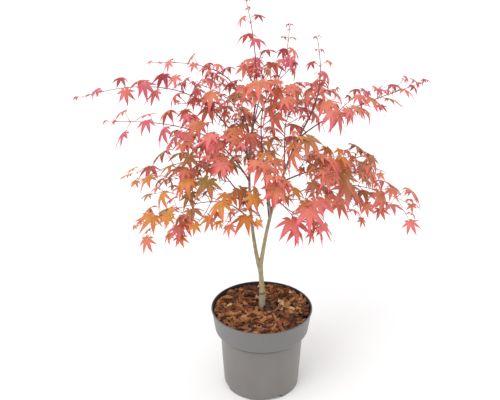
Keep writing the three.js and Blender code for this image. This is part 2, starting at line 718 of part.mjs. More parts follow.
// The two young leaves at a shoot's tip
function addTipPair(shoot, isMain, span, shootNumber, mass, masses, limbPieces) {
  const draw = seeded((mass.number * 20 + shootNumber) * 40);
  const along = shoot.direction(1);
  for (const sign of [1, -1]) {
    const share = isMain ? (1.06 - mass.fall) * draw.span(0.4, 0.6) : draw.span(0.5, 0.75);
    const out = blend([sideOf(along), sign], [along, 0.8], [UP, 0.2]).normalize();
    const place = shoot.onPieces(TIP_PAIR_AT + sign * PAIR_STAGGER);
    const spot = { place, along, out, span: Math.max(span * share, SMALLEST_LEAF) };
    addLeaf(spot, draw, mass, masses, limbPieces);
  }
}

// All the masses, grown one after the other, each with its shoots and leaves
function growMasses(lines) {
  const masses = Object.entries(MASSES).map(([name, sizes], number) => {
    const main = mainShoot(sizes, lines);
    return { name, number, ...sizes, main, pieces: main.pieces(CLEARANCE_PIECES), shoots: [], leaves: [] };
  });
  const limbPieces = Object.values(lines).flatMap((line) => line.pieces(CLEARANCE_PIECES));
  for (const mass of masses) {
    growShoot(mass.main, true, mass.pairs, mass.span, 0, mass, masses, limbPieces);
  }
  return masses;
}

// The crown of a leaf, just in front of its stalk, and its keel straight below that, where the front
// of the stalk meets the underside of the blade
function leafMiddle({ centre, forward, normal, span }) {
  const crown = blend([centre, 1], [forward, STALK_RADII.blade]);
  return [crown, blend([crown, 1], [normal, -LEAF_THICKNESS * span])];
}

// The three corners of a stalk's foot, which follow the two heels and the keel of its blade
function stalkFoot({ foot, centre, forward, normal }) {
  const way = new THREE.Vector3().subVectors(centre, foot).normalize();
  const side = new THREE.Vector3().crossVectors(normal, forward);
  return [-120, 120, 0].map((bearing) => {
    const spoke = blend([forward, Math.cos(radians(bearing))], [side, Math.sin(radians(bearing))]);
    return blend([foot, 1], [squareTo(spoke, way), STALK_RADII.foot]);
  });
}

// A leaf with its stalk, as one closed skin: the rim is the blade's sharp edge, the crown and the
// keel are the tops of a fan above and a fan below, and the three-sided stalk runs down into the
// middle of the shoot
function leafSolid(leaf) {
  const points = [...leaf.rim, ...leafMiddle(leaf), ...stalkFoot(leaf)];
  const last = leaf.rim.length - 1;
  const crown = last + 1;
  const keel = last + 2;
  const triangles = [[crown, last, 0]];
  for (let i = 0; i < last; i++) triangles.push([crown, i, i + 1], [keel, i + 1, i]);
  const blade = [0, last, keel];
  const foot = [keel + 1, keel + 2, keel + 3];
  for (let k = 0; k < 3; k++) {
    const next = (k + 1) % 3;
    triangles.push([blade[k], blade[next], foot[next]], [blade[k], foot[next], foot[k]]);
  }
  triangles.push(foot);
  return solidOf(geometryOf(points, triangles));
}

// A mass's solid: its shoots with every leaf fused on
function massSolid(mass) {
  const [main, ...twigs] = mass.shoots;
  let solid = solidOf(tubeOf(main, MAIN_SHOOT.sides));
  for (const twig of twigs) solid = solid.add(solidOf(tubeOf(twig, TWIG.sides)));
  for (const leaf of mass.leaves) solid = solid.add(leafSolid(leaf));
  return onGrid(wholeOf(solid));
}

// Materials
const plastic = new THREE.MeshStandardMaterial({ color: 0x83807c, roughness: 0.55, metalness: 0 });
const soil = new THREE.MeshStandardMaterial({ color: 0x2e211a, roughness: 1, metalness: 0 });
const chips = new THREE.MeshStandardMaterial({ color: 0x8a5136, roughness: 0.9, metalness: 0 });
const bark = new THREE.MeshStandardMaterial({ color: 0x7b6a48, roughness: 0.75, metalness: 0 });
const youngBark = new THREE.MeshStandardMaterial({ color: 0x5a2f2b, roughness: 0.6, metalness: 0 });
const leafColours = { low: 0xc9743f, middle: 0xd5735c, high: 0xd3646c };

// The colour of a mass goes from orange below to rose at the top
function foliageMaterial(mass) {
  const height = mass.tip[2];
  const tier = height < 450 ? 'low' : height < 550 ? 'middle' : 'high';
  return new THREE.MeshStandardMaterial({ color: leafColours[tier], roughness: 0.6, metalness: 0 });
}

const maple = new THREE.Group();

function place(name, solid, material) {
  const mesh = new THREE.Mesh(shapeOf(solid), material);
  mesh.name = name;
  maple.add(mesh);
}

const trunk = trunkLine();
const trunkRoom = trunkSolid(trunk, GAP);
const lines = limbLines(trunk);

place('pot', potSolid(), plastic);
place('compost', compostSolid(), soil);
place('bark_mulch', mulchSolid(trunkRoom), chips);
place('trunk', trunkSolid(trunk, 0), bark);
for (const [name, solid] of Object.entries(limbSolids(lines, trunkRoom))) {
  place(isStem(name) ? name : `bough_${name}`, solid, isStem(name) ? bark : youngBark);
}
for (const mass of growMasses(lines)) {
  place(`foliage_${mass.name}`, massSolid(mass), foliageMaterial(mass));
}

export default maple;
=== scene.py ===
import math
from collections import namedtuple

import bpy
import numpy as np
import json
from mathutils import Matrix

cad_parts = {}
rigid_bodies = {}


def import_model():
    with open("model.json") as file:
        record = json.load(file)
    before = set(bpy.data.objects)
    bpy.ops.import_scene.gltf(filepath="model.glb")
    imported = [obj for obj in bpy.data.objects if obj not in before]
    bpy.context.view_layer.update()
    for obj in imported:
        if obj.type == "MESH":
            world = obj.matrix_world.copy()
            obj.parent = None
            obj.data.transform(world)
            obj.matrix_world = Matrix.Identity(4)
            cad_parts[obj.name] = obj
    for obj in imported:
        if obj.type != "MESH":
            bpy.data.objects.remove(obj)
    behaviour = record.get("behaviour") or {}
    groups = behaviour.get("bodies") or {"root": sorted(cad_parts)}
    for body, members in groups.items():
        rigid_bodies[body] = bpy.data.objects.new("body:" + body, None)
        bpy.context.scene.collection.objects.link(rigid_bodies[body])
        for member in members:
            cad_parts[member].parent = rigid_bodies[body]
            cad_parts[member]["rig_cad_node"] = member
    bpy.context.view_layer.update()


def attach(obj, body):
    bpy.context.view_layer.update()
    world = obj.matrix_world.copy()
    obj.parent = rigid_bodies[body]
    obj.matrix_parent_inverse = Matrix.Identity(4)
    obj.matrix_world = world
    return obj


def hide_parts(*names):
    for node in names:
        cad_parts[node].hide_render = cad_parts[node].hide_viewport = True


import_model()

# %% [markdown]
# # A young Japanese maple in a nursery pot
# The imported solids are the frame: pot, compost, bark layer, trunk, stems, boughs and twenty-one
# masses of foliage, each in its true place. The lesson dresses them. The pot is spun from its
# profile, the bark is a mesh with relief, the mulch is some hundreds of chips, and each mass is
# grown again by the same seeded rule, with finer twigs and with lobed, toothed leaves.

MM = 0.001


def placed(name, data):
    """A new object in the scene, for a mesh, a curve, a lamp or a camera."""
    piece = bpy.data.objects.new(name, data)
    bpy.context.scene.collection.objects.link(piece)
    return piece


def deselect_all():
    bpy.ops.object.select_all(action="DESELECT")


def make_active(piece):
    deselect_all()
    piece.select_set(True)
    bpy.context.view_layer.objects.active = piece


def apply_modifiers(piece):
    make_active(piece)
    for modifier in list(piece.modifiers):
        bpy.ops.object.modifier_apply(modifier=modifier.name)


def merge_doubles(piece, threshold):
    """Merges corners that lie on each other, and turns the faces outwards."""
    make_active(piece)
    bpy.ops.object.mode_set(mode="EDIT")
    bpy.ops.mesh.select_all(action="SELECT")
    bpy.ops.mesh.remove_doubles(threshold=threshold)
    bpy.ops.mesh.normals_make_consistent(inside=False)
    bpy.ops.object.mode_set(mode="OBJECT")


def smooth_up_to(piece, degrees):
    """Smooth shading, but for edges that are sharper than an angle."""
    make_active(piece)
    bpy.ops.object.shade_smooth_by_angle(angle=math.radians(degrees))


def piece_from_arrays(name, points, faces, material):
    """A smooth mesh object from corners in millimetres and faces, all of one material."""
    mesh = bpy.data.meshes.new(name)
    mesh.from_pydata((points * MM).tolist(), [], faces.tolist())
    mesh.materials.append(material)
    mesh.polygons.foreach_set("use_smooth", np.full(len(mesh.polygons), True))
    mesh.update()
    return placed(name, mesh)


def belongs(piece, slot, *nodes):
    """The piece moves with the plant and stands for CAD nodes, which are hidden. The slot is not used.
    """
    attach(piece, "root")
    if nodes:
        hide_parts(*nodes)
    print(piece.name, len(piece.data.polygons), "faces")


def linear(red, green, blue):
    """A colour as seen, from 0 to 255, as the linear light that a shader wants."""
    shares = [value / 255 for value in (red, green, blue)]
    return tuple(s / 12.92 if s <= 0.04045 else ((s + 0.055) / 1.055) ** 2.4 for s in shares)


# %% [markdown]
# ## Camera
# The photograph looks slightly down on the plant from about a metre away, so that the crown is
# seen from the side and the pot's rim as an ellipse. The place and lens were worked out from that
# ellipse, from the pot's foot and from the top of the crown.

# %% Camera
CAMERA_PLACE = (-0.022, -1.042, 0.798)
LOOKS_DOWN = 22.0
LENS = 46.08

camera = placed("camera", bpy.data.cameras.new("camera"))
camera.location = CAMERA_PLACE
camera.rotation_euler = (math.radians(90 - LOOKS_DOWN), 0, 0)
camera.data.lens = LENS
camera.data.sensor_width = 36
bpy.context.scene.camera = camera

# %% [markdown]
# ## Light and floor
# The plant was photographed on white, in light that comes from everywhere. A white world gives
# that, one broad soft lamp high at the front left models the leaves, and a pale floor takes a
# soft shadow. Colours are shown without a film curve, so that the white stays white.

# %% Light and floor
FLOOR_SIZE = 30
WORLD_STRENGTH = 1.0
KEY_FROM = (-0.75, -0.8, 1.35)
KEY_SOFTNESS = 38
KEY_STRENGTH = 1.0


def plain_world(strength):
    world = bpy.data.worlds.new("studio")
    world.use_nodes = True
    background = world.node_tree.nodes["Background"]
    background.inputs["Color"].default_value = (1, 1, 1, 1)
    background.inputs["Strength"].default_value = strength
    return world


def distant_lamp(name, source, softness, strength):
    """Light that comes from one direction, the same everywhere, from a patch of sky so wide."""
    lamp = placed(name, bpy.data.lights.new(name, "SUN"))
    lamp.data.angle = math.radians(softness)
    lamp.data.energy = strength
    tilt = math.atan2(math.hypot(source[0], source[1]), source[2])
    lamp.rotation_euler = (tilt, 0, math.atan2(source[1], source[0]) + math.pi / 2)


bpy.context.scene.world = plain_world(WORLD_STRENGTH)
bpy.context.scene.view_settings.view_transform = "Standard"
distant_lamp("key", KEY_FROM, KEY_SOFTNESS, KEY_STRENGTH)

deselect_all()
bpy.ops.mesh.primitive_plane_add(size=FLOOR_SIZE)
floor = bpy.context.object
floor.name = "floor"

# %% [markdown]
# ## Materials
# Plastic, bark, chips and leaves all vary softly over their surface. That is one effect with
# other colours and scales, so it is one node group: it mixes two colours by noise that may be
# stretched, and gives out the colour and the noise itself, which can feed a bump. A second
# colour is then mixed over a material's own wherever an attribute of the corners asks for it.

# %% A group for soft variation
def add_node(tree, kind, values=None, **settings):
    """A new shader node, with its settings and then the values of its open sockets."""
    node = tree.nodes.new("ShaderNode" + kind)
    for name, value in settings.items():
        setattr(node, name, value)
    for socket, value in (values or {}).items():
        node.inputs[socket].default_value = value
    return node


def soft_variation_group():
    group = bpy.data.node_groups.new("soft variation", "ShaderNodeTree")
    for name in ("Light", "Dark"):
        group.interface.new_socket(name, in_out="INPUT", socket_type="NodeSocketColor")
    for name in ("Scale", "Stretch", "Contrast"):
        group.interface.new_socket(name, in_out="INPUT", socket_type="NodeSocketFloat")
    group.interface.new_socket("Color", in_out="OUTPUT", socket_type="NodeSocketColor")
    group.interface.new_socket("Height", in_out="OUTPUT", socket_type="NodeSocketFloat")
    taken = group.nodes.new("NodeGroupInput").outputs
    given = group.nodes.new("NodeGroupOutput").inputs
    place = add_node(group, "TexCoord")
    along = add_node(group, "CombineXYZ", {0: 1, 1: 1})
    squeeze = add_node(group, "VectorMath", operation="MULTIPLY")
    noise = add_node(group, "TexNoise", {"Detail": 4})
    half = add_node(group, "Math", {1: 0.5}, operation="MULTIPLY")
    low = add_node(group, "Math", {0: 0.5}, operation="SUBTRACT")
    high = add_node(group, "Math", {0: 0.5}, operation="ADD")
    sharpen = add_node(group, "MapRange")
    mix = add_node(group, "Mix", data_type="RGBA")
    for source, target in (
        (taken["Stretch"], along.inputs[2]),
        (place.outputs["Object"], squeeze.inputs[0]),
        (along.outputs[0], squeeze.inputs[1]),
        (squeeze.outputs[0], noise.inputs["Vector"]),
        (taken["Scale"], noise.inputs["Scale"]),
        (taken["Contrast"], half.inputs[0]),
        (half.outputs[0], low.inputs[1]),
        (half.outputs[0], high.inputs[1]),
        (noise.outputs[0], sharpen.inputs["Value"]),
        (low.outputs[0], sharpen.inputs["From Min"]),
        (high.outputs[0], sharpen.inputs["From Max"]),
        (sharpen.outputs[0], mix.inputs["Factor"]),
        (taken["Dark"], mix.inputs["A"]),
        (taken["Light"], mix.inputs["B"]),
        (mix.outputs["Result"], given["Color"]),
        (sharpen.outputs[0], given["Height"]),
    ):
        group.links.new(source, target)
    return group


variation = soft_variation_group()

# %% Materials that use it
def soft_colours(material, light, dark, scale, stretch, contrast):
    """The outputs of the soft variation, placed in a material with its own values."""
    values = {"Light": (*linear(*light), 1), "Dark": (*linear(*dark), 1)}
    values.update(Scale=scale, Stretch=stretch, Contrast=contrast)
    return add_node(material.node_tree, "Group", values, node_tree=variation).outputs


def varied(name, light, dark, scale, stretch=1.0, contrast=0.5, roughness=0.6, bump=0.0, depth=0.3):
    """A material whose colour wanders between a light and a dark one, with an optional bump."""
    material = bpy.data.materials.new(name)
    material.use_nodes = True
    tree = material.node_tree
    shader = tree.nodes["Principled BSDF"].inputs
    shader["Roughness"].default_value = roughness
    effect = soft_colours(material, light, dark, scale, stretch, contrast)
    tree.links.new(effect["Color"], shader["Base Color"])
    if bump:
        relief = add_node(tree, "Bump", {"Strength": bump, "Distance": depth * MM})
        tree.links.new(effect["Height"], relief.inputs["Height"])
        tree.links.new(relief.outputs[0], shader["Normal"])
    return material


def corner_value(material, attribute):
    return add_node(material.node_tree, "Attribute", attribute_name=attribute).outputs["Fac"]


def mixed_over(material, amount, colour=None):
    """Mixes a colour over a material's own by an amount, and returns the mix to set it on."""
    links = material.node_tree.links
    base = material.node_tree.nodes["Principled BSDF"].inputs["Base Color"]
    mix = add_node(material.node_tree, "Mix", data_type="RGBA")
    links.new(amount, mix.inputs["Factor"])
    links.new(base.links[0].from_socket, mix.inputs["A"])
    if colour:
        links.new(colour, mix.inputs["B"])
    links.new(mix.outputs["Result"], base)
    return mix


def tinted(material, attribute, colour, most):
    """Mixes one plain colour over a material's own, by an attribute of the corners."""
    share = add_node(material.node_tree, "Math", {1: most}, operation="MULTIPLY")
    material.node_tree.links.new(corner_value(material, attribute), share.inputs[0])
    mixed_over(material, share.outputs[0]).inputs["B"].default_value = (*linear(*colour), 1)


pale_floor = varied("pale floor", (251, 251, 251), (249, 249, 249), 0.5, roughness=0.9)
floor.data.materials.append(pale_floor)
print("the soft variation has", len(variation.nodes), "nodes")

# %% [markdown]
# ## The pot
# A nursery pot is one thin moulded wall: a rolled lip, a broad band, a shoulder and a body that
# tapers to a foot. It could be a lathe modifier, but spinning the drawn profile in edit mode
# leaves a plain mesh at once. The wall is drawn round both sides, so the spun skin is closed.

# %% Pot profile
RIM_RADIUS = 95
POT_HEIGHT = 163
BAND_FOOT = 120
BAND_RADIUS = RIM_RADIUS - 6.5
CREASE_DEPTH = 8
NECK_RADIUS = 78.4
FOOT_RADIUS = 72
FOOT_EDGE = 2.5
SHOULDER_EDGE = 6.4
LIP_EDGE = 1.7
WALL = 1.6


def arc(centre, radius, start, stop, count):
    """Points of a circle's arc as (radius, height), from one angle to another in degrees."""
    angles = np.radians(np.linspace(start, stop, count))
    return [(centre[0] + radius * math.cos(a), centre[1] + radius * math.sin(a)) for a in angles]


def pot_profile():
    """From the middle of the base out and up to the lip, then down inside to the middle again."""
    outside = [(0, 0), (40, 0)]
    outside += arc((FOOT_RADIUS - FOOT_EDGE, FOOT_EDGE), FOOT_EDGE, -90, -5, 6)
    outside += [(FOOT_RADIUS + 0.5, 10), (FOOT_RADIUS + 3.2, 55)]
    for below in (12, 8, 5, 3, 1.5, 0):
        outside.append((NECK_RADIUS - 0.4 - below / 17, BAND_FOOT - CREASE_DEPTH - below))
    outside += arc((NECK_RADIUS + 1.7, BAND_FOOT - 6.2), 2.1, 184, 96, 5)
    outside += arc((BAND_RADIUS - SHOULDER_EDGE, BAND_FOOT + 2.8), SHOULDER_EDGE, -66, 3, 9)
    outside += [(BAND_RADIUS + 2.6, POT_HEIGHT - 22), (RIM_RADIUS - 2.2, POT_HEIGHT - 5.6)]
    outside += arc((RIM_RADIUS - LIP_EDGE, POT_HEIGHT - 2.2), LIP_EDGE, -55, 90, 9)
    outside += arc((RIM_RADIUS - 2.2, POT_HEIGHT - 1.6), 1.1, 95, 175, 4)
    inner = [(RIM_RADIUS - 2 - WALL, POT_HEIGHT - 4), (BAND_RADIUS - WALL, BAND_FOOT + 3)]
    inner += [(NECK_RADIUS - WALL, BAND_FOOT - 7), (FOOT_RADIUS - WALL - 1, WALL), (0, WALL)]
    return outside + inner


profile = pot_profile()
print("pot profile has", len(profile), "points")

# %% Spin the pot
POT_STEPS = 144


def spun(name, profile, steps):
    """A closed skin of revolution round the z axis from a profile of (radius, height)."""
    mesh = bpy.data.meshes.new(name)
    points = [(radius * MM, 0, height * MM) for radius, height in profile]
    edges = [(i, i + 1) for i in range(len(points) - 1)]
    mesh.from_pydata(points, edges, [])
    piece = placed(name, mesh)
    make_active(piece)
    bpy.ops.object.mode_set(mode="EDIT")
    bpy.ops.mesh.select_all(action="SELECT")
    bpy.ops.mesh.spin(steps=steps, angle=2 * math.pi, center=(0, 0, 0), axis=(0, 0, 1))
    bpy.ops.object.mode_set(mode="OBJECT")
    merge_doubles(piece, 1e-6)
    return piece


pot = spun("nursery_pot", profile, POT_STEPS)

# %% [markdown]
# Under the pot four shallow channels let water out, and their open ends show as notches in the
# bottom edge. On the solid they are cut from below with a roof left over them. Here the same cut
# is a Boolean with four blocks, and a roof block over each keeps the compost in.

# %% Channels and drain holes
CHANNEL_WIDTH = 35
CHANNEL_HEIGHT = 6.5
CHANNEL_START = 46
CHANNEL_BEARINGS = (17.5, 107.5, 197.5, 287.5)
CUT_FROM = -2
ROOF_FROM = 0.7
ROOF_RADIUS = FOOT_RADIUS - 1.7
DRAIN_RADIUS = 5
DRAIN_AT = CHANNEL_START + 2.4 * DRAIN_RADIUS
DRAIN_PIN = 8 * WALL


def around(out, bearing, height):
    """The point at a distance out from the pot's axis, a bearing and a height."""
    turn = math.radians(bearing)
    return np.array([out * math.cos(turn), out * math.sin(turn), height])


def channel_block(bearing, grow, base):
    """A block along a channel's bearing, larger than the channel by an allowance."""
    length = RIM_RADIUS - CHANNEL_START + grow
    height = CHANNEL_HEIGHT + grow
    deselect_all()
    bpy.ops.mesh.primitive_cube_add(size=1)
    block = bpy.context.object
    block.scale = (length * MM, (CHANNEL_WIDTH + 2 * grow) * MM, (height - base) * MM)
    block.rotation_euler = (0, 0, math.radians(bearing))
    block.location = around(CHANNEL_START - grow + length / 2, bearing, (height + base) / 2) * MM
    bpy.ops.object.transform_apply(location=True, rotation=True, scale=True)
    return block


def drain_pin(bearing):
    place = around(DRAIN_AT, bearing, CHANNEL_HEIGHT) * MM
    deselect_all()
    bpy.ops.mesh.primitive_cylinder_add(radius=DRAIN_RADIUS * MM, depth=DRAIN_PIN * MM, location=place)
    bpy.ops.object.transform_apply(location=True, rotation=True, scale=True)
    return bpy.context.object


def boolean(piece, tool, operation):
    modifier = piece.modifiers.new(operation.lower(), "BOOLEAN")
    modifier.operation = operation
    modifier.solver = "EXACT"
    modifier.object = tool
    apply_modifiers(piece)
    bpy.data.objects.remove(tool)


def roof_block(bearing):
    """The block over a channel, with its outer end rounded to stop inside the pot's wall."""
    block = channel_block(bearing, WALL, ROOF_FROM)
    deselect_all()
    bpy.ops.mesh.primitive_cylinder_add(vertices=100, radius=ROOF_RADIUS * MM, depth=0.05)
    boolean(block, bpy.context.object, "INTERSECT")
    return block


for bearing in CHANNEL_BEARINGS:
    boolean(pot, roof_block(bearing), "UNION")
for bearing in CHANNEL_BEARINGS:
    boolean(pot, channel_block(bearing, 0, CUT_FROM), "DIFFERENCE")
    boolean(pot, drain_pin(bearing), "DIFFERENCE")
smooth_up_to(pot, 32)
print("pot has", len(pot.data.polygons), "faces")

# %% [markdown]
# The plastic is a satin taupe grey outside, a little darker in the band. Just under the band's
# shoulder a darker grey is painted on as shade, where the shoulder's shadow falls. Inside the band
# it is nearly black, where light hardly reaches. Real pots of this kind are two layers of plastic,
# so the inner wall gets its own dark material, chosen face by face: those that look at the pot's
# axis. The band's tone and the painted shade outside follow the height of each corner.

# %% Pot finish
# The width and the grey of the painted shade just under the band's shoulder
PAINTED_SHADE_WIDTH = 3.0
PAINTED_SHADE_GREY = (74, 72, 72)
BAND_EDGE = BAND_FOOT - 3
BAND_GREY = (107, 107, 108)
LINING_REACH = RIM_RADIUS - 1.9
LINING_FROM = 50


def keep_values(piece, name, values):
    """Keeps a number for each corner of a piece, which its material can ask for by name."""
    attribute = piece.data.attributes.new(name, "FLOAT", "POINT")
    attribute.data.foreach_set("value", values)


def is_lining(face):
    """Whether a face looks at the pot's axis from inside the rim and above the base."""
    inward = face.center.x * face.normal.x + face.center.y * face.normal.y < 0
    reach = math.hypot(face.center.x, face.center.y)
    return inward and reach < LINING_REACH * MM and face.center.z > LINING_FROM * MM


heights = np.array([vertex.co.z for vertex in pot.data.vertices]) / MM
# Painted shade: how much of the darker grey each corner takes, most just under the shoulder
keep_values(pot, "crease", np.exp(-(((heights - BAND_FOOT + CREASE_DEPTH) / PAINTED_SHADE_WIDTH) ** 2)))
keep_values(pot, "band", (heights > BAND_EDGE).astype(float))
grey_plastic = varied(
    "grey pot plastic", (121, 118, 116), (112, 108, 105),
    scale=22, stretch=0.35, contrast=0.6, roughness=0.4, bump=0.1, depth=0.1,
)
tinted(grey_plastic, "band", BAND_GREY, 0.6)
# Mixes in the painted shade under the band's shoulder
tinted(grey_plastic, "crease", PAINTED_SHADE_GREY, 0.6)
dark_plastic = varied(
    "dark pot lining", (56, 51, 54), (46, 42, 45),
    scale=40, contrast=0.6, roughness=0.5,
)
pot.data.materials.append(grey_plastic)
pot.data.materials.append(dark_plastic)
for face in pot.data.polygons:
    face.material_index = 1 if is_lining(face) else 0
belongs(pot, "pot_plastic", "pot")

# %% [markdown]
# ## Mulch of bark chips
# On the compost lies a loose layer of bark chips: curled flakes a centimetre or two long, in
# browns from nearly black to pale tan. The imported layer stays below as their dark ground. Five
# flakes are shaped from a subdivided block, and then copied some hundreds of times. Done with
# objects that would be slow, so their corners are copied as arrays and joined by colour.

# %% Random draws that come out the same each time
def seeded(seed):
    """The generator of even numbers that the solids were grown with: it gives draws of a span."""
    state = (seed * 2654435761 + 12345) & 0xFFFFFFFF

    def step():
        nonlocal state
        state = (state * 1664525 + 1013904223) & 0xFFFFFFFF
        return state / 4294967296

    for _ in range(4):
        step()
    return lambda low, high: low + (high - low) * step()


# %% Chip shapes
SHAPE_SEED = 900

# Length, width, thickness and curl
CHIP_SIZES = (
    (21, 9, 2.4, 2.0),
    (16, 10.5, 2.8, -1.4),
    (27, 6.5, 2.0, 2.4),
    (12, 8, 2.6, 0.9),
    (31, 4.5, 1.6, 1.2),
)


def subdivided_block():
    """Corners, from -1 to 1 each way, and faces of a block that is cut in three each way."""
    deselect_all()
    bpy.ops.mesh.primitive_cube_add(size=1)
    block = bpy.context.object
    bpy.ops.object.mode_set(mode="EDIT")
    bpy.ops.mesh.select_all(action="SELECT")
    bpy.ops.mesh.subdivide(number_cuts=2)
    bpy.ops.object.mode_set(mode="OBJECT")
    points = np.array([vertex.co[:] for vertex in block.data.vertices]) * 2
    faces = np.array([list(face.vertices) for face in block.data.polygons])
    bpy.data.objects.remove(block)
    return points, faces


def chip_shape(number, length, width, thick, curl):
    """Corners of one flake: the block, curled across, twisted, bent along and frayed at its ends."""
    draw = seeded(SHAPE_SEED + number)
    x, y, z = block_points.T
    fray = np.array([draw(-1, 1) for _ in x])
    along = x * length / 2 * (1 + 0.16 * fray * np.abs(x))
    across = y * width / 2 * (1 - 0.32 * np.abs(x) ** 2) * (1 + 0.14 * np.roll(fray, 7))
    twist, bend = 0.5 * x * y, 0.9 * x * x * np.sign(curl)
    up = z * thick / 2 * (1 - 0.35 * np.abs(y)) + curl * y * y + twist + bend
    return np.stack([along, across, up + 0.3 * np.roll(fray, 3)], axis=1)


block_points, block_faces = subdivided_block()
chips = [chip_shape(number, *size) for number, size in enumerate(CHIP_SIZES)]
print(len(chips), "shapes of chip, each of", len(block_faces), "faces")

# %% Things gathered to be joined
class Heap:
    """Corners and faces gathered from many small things, to be joined in one mesh."""

    def __init__(self):
        self.points, self.faces, self.out, self.count, self.nodes = [], [], [], 0, set()

    def add(self, points, faces, node=None, out=None):
        self.points.append(points)
        self.faces.append(faces + self.count)
        self.out.append(np.zeros(len(points)) if out is None else out)
        self.count += len(points)
        self.nodes.add(node)

    def piece(self, name, material):
        points, faces = np.concatenate(self.points), np.concatenate(self.faces)
        return piece_from_arrays(name, points, faces, material)


# %% Scatter the chips
SCATTER_SEED = 2024
CHIP_COUNT = 560
CHIP_WALL = 90.0
WALL_SLOPE = 0.1
MULCH_AT_WALL = 151
MULCH_AT_TRUNK = 158
HEAP_WAVE = 2.8
TRUNK_ROOM = 7.4
GOLDEN_ANGLE = 137.508
LYING_SHARE = 0.65
LYING_TILT = 0.4
STEEP_TILT = 0.95
CHIP_KINDS = {
    "red_brown": (0.44, (163, 98, 59), (109, 63, 41)),
    "tan": (0.3, (197, 143, 92), (148, 98, 59)),
    "dark_brown": (0.23, (100, 66, 51), (62, 41, 34)),
    "pale": (0.03, (230, 202, 158), (200, 160, 118)),
}


def turn_matrix(yaw, pitch, roll):
    """Rotation by roll about the length, pitch about the width, and then yaw about z."""
    cy, sy, cp, sp, cr, sr = (f(a) for a in (yaw, pitch, roll) for f in (math.cos, math.sin))
    about_z = np.array([[cy, -sy, 0], [sy, cy, 0], [0, 0, 1]])
    about_y = np.array([[cp, 0, sp], [0, 1, 0], [-sp, 0, cp]])
    about_x = np.array([[1, 0, 0], [0, cr, -sr], [0, sr, cr]])
    return about_z @ about_y @ about_x


def lay_chip(shape, number, draw):
    """One chip on the heap, kept inside the pot's wall and off the trunk."""
    share = (number + 0.5) / CHIP_COUNT
    reach = TRUNK_ROOM + 3 + (CHIP_WALL - TRUNK_ROOM - 6) * math.sqrt(share) + draw(-3, 3)
    bearing = number * GOLDEN_ANGLE + draw(-8, 8)
    yaw = draw(0, math.pi)
    size = draw(0.7, 1.3)
    tilt = LYING_TILT if draw(0, 1) < LYING_SHARE else STEEP_TILT
    points = shape * size @ turn_matrix(yaw, draw(-tilt, tilt), draw(-tilt, tilt)).T
    heap = MULCH_AT_TRUNK + (MULCH_AT_WALL - MULCH_AT_TRUNK) * reach / CHIP_WALL
    heap += HEAP_WAVE * math.sin(math.radians(bearing + 45)) * reach / CHIP_WALL
    points = points + around(reach, bearing, heap + draw(-0.5, 4.8))
    out = np.hypot(points[:, 0], points[:, 1])
    wall = CHIP_WALL - WALL_SLOPE * np.abs(points[:, 2] - MULCH_AT_TRUNK)
    points[:, :2] *= (np.clip(out, TRUNK_ROOM, wall) / out)[:, None]
    return points


def scatter_chips():
    heaps = {kind: Heap() for kind in CHIP_KINDS}
    draw = seeded(SCATTER_SEED)
    for number in range(CHIP_COUNT):
        pick = draw(0, 1)
        for kind, (share, _, _) in CHIP_KINDS.items():
            pick -= share
            if pick <= 0:
                break
        heaps[kind].add(lay_chip(chips[number % len(chips)], number, draw), block_faces)
    return heaps


for kind, heap in scatter_chips().items():
    _, light, dark = CHIP_KINDS[kind]
    finish = varied(f"{kind} bark chip", light, dark, scale=260, roughness=0.85, bump=0.5, depth=0.5)
    piece = heap.piece(f"chips_{kind}", finish)
    smooth_up_to(piece, 40)
    belongs(piece, "bark_chips")

# %% Ground under the chips
def dress_node(name, material):
    """A better material for a CAD node that stays as it is."""
    for piece in bpy.context.scene.objects:
        if piece.get("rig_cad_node") == name:
            piece.data.materials.clear()
            piece.data.materials.append(material)
            print(name, "is dressed")


dark_mulch = varied(
    "dark mulch", (70, 44, 34), (34, 22, 18),
    scale=240, contrast=0.4, roughness=0.95, bump=0.7, depth=1,
)
dark_compost = varied(
    "compost", (52, 38, 30), (28, 20, 16),
    scale=300, roughness=0.95, bump=0.6, depth=0.8,
)
dress_node("bark_mulch", dark_mulch)
dress_node("compost", dark_compost)

# %% [markdown]
# ## Limbs
# Every limb is one curved, tapering line. The same table drives the solids: where a limb springs
# from, where its tip is, how its middle bows, and its radius at foot and tip. Written here again,
# it gives the lines for the bark and for the shoots that grow on from them.

